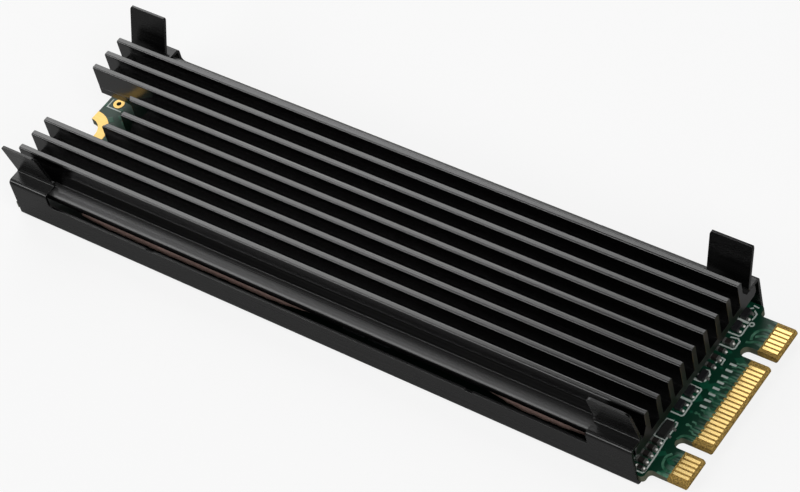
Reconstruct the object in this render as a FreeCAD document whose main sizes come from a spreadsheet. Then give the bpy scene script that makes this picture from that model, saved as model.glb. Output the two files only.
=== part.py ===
"""Plug-in drive module, 22 x 80 mm, in a folded steel tray under a clip-on finned heat sink.

Millimetres. X runs along the module with the edge connector at +X, Y across it, Z up.
The origin is on the tray's flat underside, at the middle of the module's length and width.
"""
import FreeCAD, Part
import math
import os

import Sketcher
from FreeCAD import Placement, Rotation, Vector

doc = FreeCAD.newDocument("DriveWithHeatSink")

# Driving dimensions, one named cell each.
sizes = doc.addObject("Spreadsheet::Sheet", "Sizes")
DIMENSIONS = [
    # drive board: the 22 x 80 mm module format
    ("board_length", 80.0),
    ("board_width", 22.0),
    ("board_thickness", 0.8),
    ("tongue_length", 4.0),
    ("shoulder_step", 1.075),
    ("shoulder_radius", 0.4),
    ("tip_bevel_length", 0.2),
    ("tip_bevel_depth", 0.25),
    ("key_width", 1.2),
    ("key_depth", 3.5),
    ("screw_notch_radius", 1.75),
    ("contact_edge_gap", 0.675),
    ("contact_width", 0.36),
    ("contact_length", 1.64),
    ("contact_setback", 0.2),
    ("plating_thickness", 0.04),
    ("notch_ring_width", 1.15),
    ("test_ring_end_gap", 1.4),
    ("test_ring_offset", 4.7),
    ("test_ring_radius", 0.62),
    ("test_hole_radius", 0.27),
    # folded tray
    ("tray_sheet", 0.3),
    ("tray_board_gap", 0.05),
    ("tray_inner_radius", 0.25),
    ("tray_end_setback", 0.7),
    ("tray_connector_setback", 4.5),
    ("film_thickness", 0.15),
    ("film_gap", 0.15),
    ("standoff_clearance_radius", 3.6),
    ("window_sill_rise", 2.25),
    ("window_round_radius", 0.5),
    ("window_square_radius", 0.2),
    ("sill_notch_offset", 19.3),
    ("sill_notch_width", 0.9),
    ("sill_notch_depth", 0.15),
    ("clip_length", 4.9),
    ("clip_reach", 1.55),
    ("clip_inner_radius", 0.15),
    ("ear_height", 4.5),
    ("ear_angle_near", 11.5),
    ("ear_angle_far", 19.5),
    ("ear_inset", 0.3),
    ("ear_corner_radius", 0.5),
    # finned heat sink
    ("sink_end_setback", 0.55),
    ("sink_connector_setback", 4.55),
    ("fin_count", 9),
    ("fin_edge_inset", 2.07),
    ("fin_thickness", 0.66),
    ("fin_rise", 2.93),
    ("fin_root_radius", 0.15),
    ("fin_edge_radius", 0.16),
    ("base_thickness", 0.9),
    ("flange_wall_gap", 0.45),
    ("flange_crown_inset", 0.65),
    ("flange_rise", 0.45),
    ("flange_lip_rise", 0.3),
    ("flange_chine_inset", 0.35),
    ("flange_step_inset", 1.48),
    ("flange_web_rise", 1.3),
    ("flange_curve_radius", 0.9),
    ("lip_thickness", 0.75),
    ("access_notch_half_width", 3.75),
    ("access_notch_depth", 7.05),
    # thermal pad, squeezed out to its bulges over the packages
    ("pad_thickness", 1.1),
    ("pad_notch_gap", 1.0),
    ("pad_end_inset", 5.15),
    ("pad_edge_inset", 1.0),
    ("pad_bulge_inset", 0.3),
    # packages under the pad
    ("package_height", 1.2),
    ("package_margin", 0.2),
    ("carrier_height", 0.25),
    ("mould_inset", 0.1),
    ("dot_radius", 0.35),
    ("dot_inset", 0.9),
    ("dot_depth", 0.05),
    ("memory_length", 12.0),
    ("memory_edge_gap", 2.0),
    ("cache_length", 7.5),
    ("cache_edge_gap", 4.35),
    ("controller_length", 12.0),
    ("controller_edge_gap", 5.0),
    ("converter_side", 3.0),
    ("converter_height", 0.85),
    # small parts on the board
    ("inductor_length", 2.5),
    ("inductor_width", 2.0),
    ("inductor_height", 1.0),
    ("crystal_length", 2.5),
    ("crystal_width", 2.0),
    ("crystal_height", 0.6),
    ("chip_length", 1.0),
    ("chip_width", 0.5),
    ("chip_height", 0.45),
    ("small_chip_length", 0.9),
    ("small_chip_width", 0.4),
    ("small_chip_height", 0.32),
    ("terminal_length", 0.22),
    ("transistor_length", 0.6),
    ("transistor_width", 1.1),
    ("transistor_height", 0.5),
    ("regulator_length", 0.8),
    ("regulator_width", 1.8),
    ("regulator_height", 0.55),
    ("lead_length", 0.2),
    ("lead_width", 0.28),
    ("lead_height", 0.2),
    ("joint_length", 0.16),
    ("row_setback", 5.0),
    ("side_row_offset", 2.7),
]
for row, (alias, value) in enumerate(DIMENSIONS, start=1):
    cell = "B%d" % row
    sizes.set("A%d" % row, alias)
    sizes.set(cell, str(value))
    sizes.setAlias(cell, alias)
doc.recompute()


def size(text):
    """The value in millimetres of an expression written with the sheet's names."""
    result = sizes.evalExpression(text)
    return float(getattr(result, "Value", result))


# Heights, ends and half widths that several pieces share, each written once.
SCREW_END = "(-Sizes.board_length / 2)"
PLUG_END = "(Sizes.board_length / 2)"
HALF_BOARD = "(Sizes.board_width / 2)"
FLOOR_TOP = "(Sizes.tray_sheet)"
BOARD_UNDER = "(Sizes.tray_sheet + Sizes.film_thickness)"
BOARD_TOP = "(%s + Sizes.board_thickness)" % BOARD_UNDER
PACKAGE_TOP = "(%s + Sizes.package_height)" % BOARD_TOP
SINK_UNDER = "(%s + Sizes.pad_thickness)" % PACKAGE_TOP
BASE_TOP = "(%s + Sizes.base_thickness)" % SINK_UNDER
FIN_TOP = "(%s + Sizes.fin_rise)" % BASE_TOP
CROWN = "(%s + Sizes.flange_rise)" % BASE_TOP
WEB_TOP = "(%s + Sizes.flange_web_rise)" % BASE_TOP
LIP = "(%s + Sizes.flange_lip_rise)" % SINK_UNDER
TRAY_INSIDE = "(%s + Sizes.tray_board_gap)" % HALF_BOARD
TRAY_OUTSIDE = "(%s + Sizes.tray_sheet)" % TRAY_INSIDE
TRAY_START = "(%s + Sizes.tray_end_setback)" % SCREW_END
TRAY_END = "(%s - Sizes.tray_connector_setback)" % PLUG_END
SHELF_TOP = "(%s + Sizes.tray_sheet)" % CROWN
WINDOW_SILL = "(%s + Sizes.window_sill_rise)" % BOARD_TOP
SINK_START = "(%s + Sizes.sink_end_setback)" % SCREW_END
SINK_END = "(%s - Sizes.sink_connector_setback)" % PLUG_END
SINK_LENGTH = "(%s - %s)" % (SINK_END, SINK_START)
NOTCH_TIP = "(%s + Sizes.access_notch_depth)" % SINK_START
FLANGE_HALF = "(%s - Sizes.flange_wall_gap)" % TRAY_INSIDE


def origin_plane(body, role):
    """The body's own origin plane with the given role."""
    return [f for f in body.Origin.OriginFeatures if f.Role == role][0]


def sketch_on(body, name, role, offset=None):
    """An empty sketch on one of the body's origin planes, moved along its normal."""
    sketch = body.newObject("Sketcher::SketchObject", name)
    sketch.AttachmentSupport = [(origin_plane(body, role), "")]
    sketch.MapMode = "FlatFace"
    if offset is not None:
        sketch.setExpression("AttachmentOffset.Base.z", offset)
    return sketch


def arc_centre(start, end, radius, left_turn):
    """Centre of the arc of a radius from start to end that turns left or right."""
    middle = (start + end) * 0.5
    half = (end - start) * 0.5
    rise = math.sqrt(max(radius ** 2 - half.Length ** 2, 0.0))
    normal = Vector(-half.y, half.x, 0.0).normalize()
    return middle + normal * (rise if left_turn else -rise)


def closed_outline(sketch, corners):
    """Add a closed outline. Each corner is (u, v) or (u, v, radius, turn), all expressions.

    A radius says that the edge from this corner to the next is an arc of that radius, under half
    a circle, turning "left" or "right". Every corner is held at its expressions' values.
    """
    points = [Vector(size(c[0]), size(c[1]), 0.0) for c in corners]
    edges = []
    for i, corner in enumerate(corners):
        start = points[i]
        end = points[(i + 1) % len(points)]
        if len(corner) == 2:
            edges.append((sketch.addGeometry(Part.LineSegment(start, end), False), 1, 2))
            continue
        radius = size(corner[2])
        left_turn = corner[3] == "left"
        centre = arc_centre(start, end, radius, left_turn)
        first, last = (start, end) if left_turn else (end, start)
        angles = [math.atan2(p.y - centre.y, p.x - centre.x) for p in (first, last)]
        circle = Part.Circle(centre, Vector(0.0, 0.0, 1.0), radius)
        arc = sketch.addGeometry(Part.ArcOfCircle(circle, angles[0], angles[1]), False)
        edges.append((arc, 1, 2) if left_turn else (arc, 2, 1))
    for i, corner in enumerate(corners):
        edge, at_start, at_end = edges[i]
        following, next_start, _ = edges[(i + 1) % len(edges)]
        sketch.addConstraint(Sketcher.Constraint("Coincident", edge, at_end, following, next_start))
        hold_point(sketch, edge, at_start, corner[0], corner[1])
        if len(corner) > 2:
            hold_radius(sketch, edge, corner[2])


def hold_point(sketch, edge, place, u, v):
    """Hold one point of an edge at two expressions."""
    for kind, expression in (("DistanceX", u), ("DistanceY", v)):
        index = sketch.addConstraint(
            Sketcher.Constraint(kind, -1, 1, edge, place, size(expression)))
        sketch.setExpression("Constraints[%d]" % index, expression)


def hold_radius(sketch, edge, radius):
    """Hold the radius of an arc or a circle at an expression."""
    index = sketch.addConstraint(Sketcher.Constraint("Radius", edge, size(radius)))
    sketch.setExpression("Constraints[%d]" % index, radius)


def circle_outline(sketch, u, v, radius):
    """Add a circle held by expressions."""
    centre = Vector(size(u), size(v), 0.0)
    edge = sketch.addGeometry(Part.Circle(centre, Vector(0.0, 0.0, 1.0), size(radius)), False)
    hold_point(sketch, edge, 3, u, v)
    hold_radius(sketch, edge, radius)


def rectangle_outline(sketch, low_u, low_v, high_u, high_v):
    """Add a rectangle between two corners."""
    closed_outline(sketch, [(low_u, low_v), (high_u, low_v), (high_u, high_v), (low_u, high_v)])


def pad(body, name, sketch, length):
    """Pad a sketch along its plane's normal."""
    feature = body.newObject("PartDesign::Pad", name)
    feature.Profile = sketch
    feature.Type = "Length"
    feature.setExpression("Length", length)
    doc.recompute()
    return feature


def cut(body, name, sketch, both_ways=True, reversed_way=False, depth=None):
    """Cut a sketch through the body, both ways from its plane or one way only, or to a depth."""
    before = body.Shape.Volume
    feature = body.newObject("PartDesign::Pocket", name)
    feature.Profile = sketch
    feature.Type = "ThroughAll" if depth is None else "Length"
    feature.Midplane = both_ways
    feature.Reversed = reversed_way
    if depth is not None:
        feature.setExpression("Length", depth)
    doc.recompute()
    if not feature.Shape.Volume < before:
        raise ValueError("%s cuts nothing" % name)
    body.Tip = feature
    return feature


def new_body(label):
    """A body whose label is the piece's name, at the shared origin."""
    body = doc.addObject("PartDesign::Body", "Body_" + label)
    body.Label = label
    body.Placement = Placement(Vector(0.0, 0.0, 0.0), Rotation())
    return body


def minus(expression):
    """The expression with its sign turned."""
    return "(-1 * %s)" % expression


def mirrored(corners):
    """An outline's corners mirrored in the first coordinate, in the order that keeps it closed."""
    turned = []
    count = len(corners)
    for i in range(count):
        corner = corners[(count - i) % count]
        previous = corners[(count - i - 1) % count]
        turned.append((minus(corner[0]), corner[1]) + tuple(previous[2:]))
    return turned


# Finned heat sink: one extruded length, with a round-ended notch milled in at the screw end.
# The base plate ends in a flange on each side that the tray's clips press on.
heat_sink = new_body("heat_sink")
base_sketch = sketch_on(heat_sink, "SinkBaseProfile", "YZ_Plane", SINK_START)
OUTER_FIN_FACE = "(%s - Sizes.fin_edge_inset)" % FLANGE_HALF
FLANGE_CHINE = "(%s - Sizes.flange_chine_inset)" % FLANGE_HALF
FLANGE_CROWN_EDGE = "(%s - Sizes.flange_crown_inset)" % FLANGE_HALF
FLANGE_STEP = "(%s - Sizes.flange_step_inset)" % FLANGE_HALF
LIP_TOP = "(%s + Sizes.lip_thickness)" % LIP
closed_outline(base_sketch, [
    (minus(FLANGE_CHINE), SINK_UNDER),
    (FLANGE_CHINE, SINK_UNDER),
    (FLANGE_HALF, LIP),
    (FLANGE_HALF, LIP_TOP, "Sizes.flange_curve_radius", "left"),
    (FLANGE_CROWN_EDGE, CROWN),
    (FLANGE_STEP, CROWN),
    (OUTER_FIN_FACE, WEB_TOP),
    (OUTER_FIN_FACE, BASE_TOP),
    (minus(OUTER_FIN_FACE), BASE_TOP),
    (minus(OUTER_FIN_FACE), WEB_TOP),
    (minus(FLANGE_STEP), CROWN),
    (minus(FLANGE_CROWN_EDGE), CROWN, "Sizes.flange_curve_radius", "left"),
    (minus(FLANGE_HALF), LIP_TOP),
    (minus(FLANGE_HALF), LIP),
])
pad(heat_sink, "SinkBase", base_sketch, SINK_LENGTH)

# One fin with a small root fillet and eased top edges, repeated across the base.
fin_sketch = sketch_on(heat_sink, "FinProfile", "YZ_Plane", SINK_START)
FIN_NEAR = minus(OUTER_FIN_FACE)
FIN_FAR = "(%s + Sizes.fin_thickness)" % FIN_NEAR
ROOT_FAR = "(%s + Sizes.fin_root_radius)" % FIN_FAR
ROOT_TOP = "(%s + Sizes.fin_root_radius)" % BASE_TOP
SUNK_ROOT = "(%s - Sizes.base_thickness / 2)" % BASE_TOP
FIN_EASE = "(%s - Sizes.fin_edge_radius)" % FIN_TOP
closed_outline(fin_sketch, [
    (FIN_NEAR, SUNK_ROOT),
    (ROOT_FAR, SUNK_ROOT),
    (ROOT_FAR, BASE_TOP, "Sizes.fin_root_radius", "right"),
    (FIN_FAR, ROOT_TOP),
    (FIN_FAR, FIN_EASE, "Sizes.fin_edge_radius", "left"),
    ("(%s - Sizes.fin_edge_radius)" % FIN_FAR, FIN_TOP),
    ("(%s + Sizes.fin_edge_radius)" % FIN_NEAR, FIN_TOP, "Sizes.fin_edge_radius", "left"),
    (FIN_NEAR, FIN_EASE),
])
first_fin = pad(heat_sink, "FirstFin", fin_sketch, SINK_LENGTH)
fins = heat_sink.newObject("PartDesign::LinearPattern", "Fins")
fins.Originals = [first_fin]
fins.Direction = (fin_sketch, ["H_Axis"])
fins.setExpression("Length", "2 * %s - Sizes.fin_thickness" % OUTER_FIN_FACE)
fins.setExpression("Occurrences", "Sizes.fin_count")
heat_sink.Tip = fins
doc.recompute()

# The notch gives room for the module's screw head and a screwdriver.
notch_sketch = sketch_on(heat_sink, "AccessNotchOutline", "XY_Plane")
NOTCH_HALF = "Sizes.access_notch_half_width"
NOTCH_MOUTH = "(%s - Sizes.sink_end_setback)" % SINK_START
NOTCH_CENTRE = "(%s - %s)" % (NOTCH_TIP, NOTCH_HALF)
closed_outline(notch_sketch, [
    (NOTCH_MOUTH, minus(NOTCH_HALF)),
    (NOTCH_CENTRE, minus(NOTCH_HALF), NOTCH_HALF, "left"),
    (NOTCH_TIP, "0", NOTCH_HALF, "left"),
    (NOTCH_CENTRE, NOTCH_HALF),
    (NOTCH_MOUTH, NOTCH_HALF),
])
cut(heat_sink, "AccessNotch", notch_sketch)

# Folded tray: one sheet-steel blank, its sides folded up and four clips folded in and up again.
clip_tray = new_body("clip_tray")
trough_sketch = sketch_on(clip_tray, "TroughProfile", "YZ_Plane", TRAY_START)
TRAY_OUTER_RADIUS = "(Sizes.tray_inner_radius + Sizes.tray_sheet)"
CLIP_OUTER_RADIUS = "(Sizes.clip_inner_radius + Sizes.tray_sheet)"
WALL_TOP = "(%s - %s)" % (SHELF_TOP, CLIP_OUTER_RADIUS)
BEND_START = "(%s - Sizes.tray_inner_radius)" % TRAY_INSIDE
closed_outline(trough_sketch, [
    (minus(BEND_START), "0"),
    (BEND_START, "0", TRAY_OUTER_RADIUS, "left"),
    (TRAY_OUTSIDE, TRAY_OUTER_RADIUS),
    (TRAY_OUTSIDE, WALL_TOP),
    (TRAY_INSIDE, WALL_TOP),
    (TRAY_INSIDE, TRAY_OUTER_RADIUS, "Sizes.tray_inner_radius", "right"),
    (BEND_START, FLOOR_TOP),
    (minus(BEND_START), FLOOR_TOP, "Sizes.tray_inner_radius", "right"),
    (minus(TRAY_INSIDE), TRAY_OUTER_RADIUS),
    (minus(TRAY_INSIDE), WALL_TOP),
    (minus(TRAY_OUTSIDE), WALL_TOP),
    (minus(TRAY_OUTSIDE), TRAY_OUTER_RADIUS, TRAY_OUTER_RADIUS, "left"),
])
TRAY_LENGTH = "(%s - %s)" % (TRAY_END, TRAY_START)
pad(clip_tray, "Trough", trough_sketch, TRAY_LENGTH)

# Long window in each side, between the clips: rounded by the screw end, squarer by the other.
window_sketch = sketch_on(clip_tray, "WindowOutline", "XZ_Plane")
WINDOW_START = "(%s + Sizes.clip_length)" % TRAY_START
WINDOW_END = "(%s - Sizes.clip_length)" % TRAY_END
ABOVE_WALL = "(%s + Sizes.tray_sheet)" % WALL_TOP
closed_outline(window_sketch, [
    ("(%s + Sizes.window_round_radius)" % WINDOW_START, WINDOW_SILL),
    ("(%s - Sizes.window_square_radius)" % WINDOW_END, WINDOW_SILL,
     "Sizes.window_square_radius", "left"),
    (WINDOW_END, "(%s + Sizes.window_square_radius)" % WINDOW_SILL),
    (WINDOW_END, ABOVE_WALL),
    (WINDOW_START, ABOVE_WALL),
    (WINDOW_START, "(%s + Sizes.window_round_radius)" % WINDOW_SILL,
     "Sizes.window_round_radius", "left"),
])
cut(clip_tray, "SideWindows", window_sketch)

# Two shallow notches in each window sill, where the blank was held in its strip.
sill_sketch = sketch_on(clip_tray, "SillNotchOutline", "XZ_Plane")
TRAY_MIDDLE = "((%s + %s) / 2)" % (TRAY_START, TRAY_END)
NOTCH_FLOOR = "(%s - Sizes.sill_notch_depth)" % WINDOW_SILL
for sign in ("-", "+"):
    centre = "(%s %s Sizes.sill_notch_offset)" % (TRAY_MIDDLE, sign)
    rectangle_outline(sill_sketch,
                      "(%s - Sizes.sill_notch_width / 2)" % centre, NOTCH_FLOOR,
                      "(%s + Sizes.sill_notch_width / 2)" % centre,
                      "(%s + Sizes.sill_notch_depth)" % WINDOW_SILL)
cut(clip_tray, "SillNotches", sill_sketch)

# The floor is cut away round the standoff that the module's screw goes into.
standoff_sketch = sketch_on(clip_tray, "StandoffClearanceOutline", "XY_Plane")
circle_outline(standoff_sketch, SCREW_END, "0", "Sizes.standoff_clearance_radius")
cut(clip_tray, "StandoffClearance", standoff_sketch)

# A clip: the wall folds in as a shelf over the flange, then back up as a leaning ear. The far
# pair of ears is bent out further than the near pair.
SHELF_UNDER = "(%s - Sizes.tray_sheet)" % SHELF_TOP
NECK_OUTER = "(%s - Sizes.clip_reach)" % TRAY_OUTSIDE
EAR_BEND_U = "(%s + Sizes.clip_inner_radius)" % NECK_OUTER
EAR_BEND_V = "(%s + Sizes.clip_inner_radius)" % SHELF_TOP
WALL_BEND = "(%s - %s)" % (TRAY_OUTSIDE, CLIP_OUTER_RADIUS)


def ear_point(lean, radius, rise):
    """A point of the leaning ear: radius from the bend's centre, then so far up the face."""
    turn = "(%s * 1 deg)" % lean
    u = "(%s - %s * cos(%s) + %s * sin(%s))" % (EAR_BEND_U, radius, turn, rise, turn)
    v = "(%s + %s * sin(%s) + %s * cos(%s))" % (EAR_BEND_V, radius, turn, rise, turn)
    return u, v


def clip_profile(lean):
    """The far side's clip in section, from the window sill's height to the ear's top."""
    return [
        (TRAY_OUTSIDE, WINDOW_SILL),
        (TRAY_OUTSIDE, WALL_TOP, CLIP_OUTER_RADIUS, "left"),
        (WALL_BEND, SHELF_TOP),
        (EAR_BEND_U, SHELF_TOP, "Sizes.clip_inner_radius", "right"),
        ear_point(lean, "Sizes.clip_inner_radius", "0"),
        ear_point(lean, "Sizes.clip_inner_radius", "Sizes.ear_height"),
        ear_point(lean, CLIP_OUTER_RADIUS, "Sizes.ear_height"),
        ear_point(lean, CLIP_OUTER_RADIUS, "0") + (CLIP_OUTER_RADIUS, "left"),
        (EAR_BEND_U, SHELF_UNDER),
        (WALL_BEND, SHELF_UNDER, "Sizes.clip_inner_radius", "right"),
        (TRAY_INSIDE, WALL_TOP),
        (TRAY_INSIDE, WINDOW_SILL),
    ]


clip_sketch = sketch_on(clip_tray, "ClipProfiles", "YZ_Plane", TRAY_START)
closed_outline(clip_sketch, clip_profile("Sizes.ear_angle_far"))
closed_outline(clip_sketch, mirrored(clip_profile("Sizes.ear_angle_near")))
first_clips = pad(clip_tray, "ScrewEndClips", clip_sketch, "Sizes.clip_length")
clips = clip_tray.newObject("PartDesign::LinearPattern", "Clips")
clips.Originals = [first_clips]
clips.Direction = (clip_sketch, ["N_Axis"])
clips.setExpression("Length", "%s - Sizes.clip_length" % TRAY_LENGTH)
clips.Occurrences = 2
clip_tray.Tip = clips
doc.recompute()

# The ears are narrower than the clips on the window's side, and their upper corners are rounded.
EAR_FOOT = "(%s + %s)" % (SHELF_TOP, CLIP_OUTER_RADIUS)
EAR_ROUND = "Sizes.ear_corner_radius"
for side, lean, far_way in (("Near", "Sizes.ear_angle_near", False),
                            ("Far", "Sizes.ear_angle_far", True)):
    ear_sketch = sketch_on(clip_tray, side + "EarOutline", "XZ_Plane")
    top = ear_point(lean, CLIP_OUTER_RADIUS, "Sizes.ear_height")[1]
    over = "(%s + Sizes.tray_sheet)" % ear_point(lean, "0", "Sizes.ear_height")[1]
    shoulder = "(%s - %s)" % (top, EAR_ROUND)
    for clip_start, clip_end, start_inset, end_inset in (
            (TRAY_START, WINDOW_START, "0", "Sizes.ear_inset"),
            (WINDOW_END, TRAY_END, "Sizes.ear_inset", "0")):
        past_start = "(%s - %s)" % (clip_start, EAR_ROUND)
        past_end = "(%s + %s)" % (clip_end, EAR_ROUND)
        ear_start = "(%s + %s)" % (clip_start, start_inset)
        ear_end = "(%s - %s)" % (clip_end, end_inset)
        closed_outline(ear_sketch, [
            (past_start, EAR_FOOT),
            (ear_start, EAR_FOOT),
            (ear_start, shoulder, EAR_ROUND, "right"),
            ("(%s + %s)" % (ear_start, EAR_ROUND), top),
            ("(%s - %s)" % (ear_end, EAR_ROUND), top, EAR_ROUND, "right"),
            (ear_end, shoulder),
            (ear_end, EAR_FOOT),
            (past_end, EAR_FOOT),
            (past_end, over),
            (past_start, over),
        ])
    cut(clip_tray, side + "Ears", ear_sketch, both_ways=False, reversed_way=far_way)

# Insulating film on the tray's floor, under the board.
film = doc.addObject("Part::Box", "Film")
film.Label = "insulating_film"
FILM_START = "(%s + Sizes.standoff_clearance_radius + Sizes.film_gap)" % SCREW_END
FILM_HALF = "(%s - Sizes.tray_board_gap)" % BEND_START
film.setExpression("Length", "%s - Sizes.film_gap - %s" % (TRAY_END, FILM_START))
film.setExpression("Width", "2 * %s" % FILM_HALF)
film.setExpression("Height", "Sizes.film_thickness")
film.setExpression("Placement.Base.x", FILM_START)
film.setExpression("Placement.Base.y", minus(FILM_HALF))
film.setExpression("Placement.Base.z", FLOOR_TOP)

# Drive board: full-width card, narrower tongue with two round-ended key notches, half-round
# screw notch at the other end. The contacts' pitch divides the tongue, and the keys lie on it.
drive_board = new_body("drive_board")
board_sketch = sketch_on(drive_board, "BoardOutline", "XY_Plane", BOARD_UNDER)
HALF_TONGUE = "(%s - Sizes.shoulder_step)" % HALF_BOARD
CONTACT_STEPS = 37
CONTACT_PITCH = "(2 * (%s - Sizes.contact_edge_gap) / %d)" % (HALF_TONGUE, CONTACT_STEPS)
FAR_KEY = "(11.25 * %s)" % CONTACT_PITCH
NEAR_KEY = "(-12.25 * %s)" % CONTACT_PITCH
SHOULDER = "(%s - Sizes.tongue_length)" % PLUG_END
KEY_RADIUS = "(Sizes.key_width / 2)"
KEY_END = "(%s - Sizes.key_depth)" % PLUG_END
KEY_CENTRE = "(%s + %s)" % (KEY_END, KEY_RADIUS)
SHOULDER_START = "(%s - Sizes.shoulder_radius)" % SHOULDER
SHOULDER_END = "(%s + Sizes.shoulder_radius)" % SHOULDER
SHOULDER_OUT = "(%s - Sizes.shoulder_radius)" % HALF_BOARD
SHOULDER_IN = "(%s + Sizes.shoulder_radius)" % HALF_TONGUE
SCREW_NOTCH_TIP = "(%s + Sizes.screw_notch_radius)" % SCREW_END


def key_notch(centre):
    """Corners of one key notch, met while going along the tongue's tip towards +Y."""
    near = "(%s - %s)" % (centre, KEY_RADIUS)
    far = "(%s + %s)" % (centre, KEY_RADIUS)
    return [
        (PLUG_END, near),
        (KEY_CENTRE, near, KEY_RADIUS, "right"),
        (KEY_END, centre, KEY_RADIUS, "right"),
        (KEY_CENTRE, far),
        (PLUG_END, far),
    ]


closed_outline(board_sketch, [
    (SCREW_END, minus(HALF_BOARD)),
    (SHOULDER_START, minus(HALF_BOARD), "Sizes.shoulder_radius", "left"),
    (SHOULDER, minus(SHOULDER_OUT)),
    (SHOULDER, minus(SHOULDER_IN), "Sizes.shoulder_radius", "right"),
    (SHOULDER_END, minus(HALF_TONGUE)),
    (PLUG_END, minus(HALF_TONGUE)),
] + key_notch(NEAR_KEY) + key_notch(FAR_KEY) + [
    (PLUG_END, HALF_TONGUE),
    (SHOULDER_END, HALF_TONGUE, "Sizes.shoulder_radius", "right"),
    (SHOULDER, SHOULDER_IN),
    (SHOULDER, SHOULDER_OUT, "Sizes.shoulder_radius", "left"),
    (SHOULDER_START, HALF_BOARD),
    (SCREW_END, HALF_BOARD),
    (SCREW_END, "Sizes.screw_notch_radius", "Sizes.screw_notch_radius", "right"),
    (SCREW_NOTCH_TIP, "0", "Sizes.screw_notch_radius", "right"),
    (SCREW_END, minus("Sizes.screw_notch_radius")),
])
pad(drive_board, "Card", board_sketch, "Sizes.board_thickness")
# The tongue's tip is bevelled on both faces so that it enters the socket.
bevel_sketch = sketch_on(drive_board, "TipBevelOutline", "XZ_Plane")
BEVEL_START = "(%s - Sizes.tip_bevel_length)" % PLUG_END
for face, inner in ((BOARD_TOP, "(%s - Sizes.tip_bevel_depth)" % BOARD_TOP),
                    (BOARD_UNDER, "(%s + Sizes.tip_bevel_depth)" % BOARD_UNDER)):
    closed_outline(bevel_sketch, [(BEVEL_START, face), (PLUG_END, inner), (PLUG_END, face)])
cut(drive_board, "TipBevel", bevel_sketch)
TEST_RING_X = "(%s + Sizes.test_ring_end_gap)" % SCREW_END
hole_sketch = sketch_on(drive_board, "TestHoleOutline", "XY_Plane", BOARD_UNDER)
circle_outline(hole_sketch, TEST_RING_X, "Sizes.test_ring_offset", "Sizes.test_hole_radius")
cut(drive_board, "TestHole", hole_sketch)


def box(name, low, extent):
    """A box from three low-corner expressions and three extent expressions."""
    solid = doc.addObject("Part::Box", name)
    for axis, expression in zip("xyz", low):
        solid.setExpression("Placement.Base." + axis, expression)
    for side, expression in zip(("Length", "Width", "Height"), extent):
        solid.setExpression(side, expression)
    return solid


def ring(name, x, y, level, outer, inner):
    """A flat plated ring between two radii."""
    discs = []
    for part, radius in (("disc", outer), ("opening", inner)):
        disc = doc.addObject("Part::Cylinder", "%s_%s" % (name, part))
        disc.setExpression("Radius", radius)
        disc.setExpression("Height", "Sizes.plating_thickness")
        for axis, expression in zip("xyz", (x, y, level)):
            disc.setExpression("Placement.Base." + axis, expression)
        discs.append(disc)
    whole = doc.addObject("Part::Cut", name + "_ring")
    whole.Base = discs[0]
    whole.Tool = discs[1]
    return whole


def grouped(label, members):
    """Separate solids that share one node."""
    group = doc.addObject("Part::Compound", "Group_" + label)
    group.Label = label
    group.Links = members
    return group


# Plating round the screw notch on both faces: rings cut off at the board's end.
PLATING_UNDER = "(%s - Sizes.plating_thickness)" % BOARD_UNDER
NOTCH_RING = "(Sizes.screw_notch_radius + Sizes.notch_ring_width)"
notch_rings = []
for face, level in (("upper", BOARD_TOP), ("lower", PLATING_UNDER)):
    kept = box("notch_half_" + face, (SCREW_END, minus(NOTCH_RING), level),
               (NOTCH_RING, "2 * " + NOTCH_RING, "Sizes.plating_thickness"))
    half = doc.addObject("Part::Common", "notch_plating_" + face)
    half.Base = ring("notch_" + face, SCREW_END, "0", level, NOTCH_RING,
                     "Sizes.screw_notch_radius")
    half.Tool = kept
    notch_rings.append(half)
grouped("screw_notch_plating", notch_rings)
test_ring = ring("test", TEST_RING_X, "Sizes.test_ring_offset", BOARD_TOP,
                 "Sizes.test_ring_radius", "Sizes.test_hole_radius")
test_ring.Label = "test_ring"

# Edge contacts. Places count pitches from each face's first contact at the far side, and the
# key notches take the places that are left out.
UPPER_PLACES = list(range(0, 6)) + list(range(10, 29)) + list(range(33, 38))
LOWER_PLACES = list(range(0, 5)) + list(range(9, 29)) + list(range(33, 37))
UPPER_FIRST = 18.5
LOWER_FIRST = 18.0
CONTACT_START = "(%s - Sizes.contact_setback - Sizes.contact_length)" % PLUG_END
for label, first, places, level in (("contacts_upper", UPPER_FIRST, UPPER_PLACES, BOARD_TOP),
                                    ("contacts_lower", LOWER_FIRST, LOWER_PLACES, PLATING_UNDER)):
    strips = []
    for place in places:
        low_y = "%.1f * %s - Sizes.contact_width / 2" % (first - place, CONTACT_PITCH)
        strips.append(box("%s_%02d" % (label, place), (CONTACT_START, low_y, level),
                          ("Sizes.contact_length", "Sizes.contact_width",
                           "Sizes.plating_thickness")))
    grouped(label, strips)

# Thermal pad: a soft strip squeezed between the tall packages and the heat sink. Its long edges
# are pressed outward over the memory packages and over the controller. Each pair below is a
# share of the pad's length and a share of the full bulge.
thermal_pad = new_body("thermal_pad")
pad_sketch = sketch_on(thermal_pad, "PadOutline", "XY_Plane", PACKAGE_TOP)
PAD_START = "(%s + Sizes.pad_notch_gap)" % NOTCH_TIP
PAD_END = "(%s - Sizes.pad_end_inset)" % SINK_END
PAD_WAVES = [(0.0, 0.55), (0.02, 1.0), (0.40, 1.0), (0.50, 0.0), (0.80, 0.0), (0.85, 1.0),
             (0.965, 1.0), (1.0, 0.35)]
PAD_HALF = "(%s - Sizes.pad_edge_inset)" % FLANGE_HALF
PAD_BULGE = "(Sizes.pad_edge_inset - Sizes.pad_bulge_inset)"
pad_far_side = [("(%s + %.3f * (%s - %s))" % (PAD_START, along, PAD_END, PAD_START),
                 "(%s + %.2f * %s)" % (PAD_HALF, swell, PAD_BULGE))
                for along, swell in PAD_WAVES]
pad_near_side = [(x, minus(y)) for x, y in pad_far_side]
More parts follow.
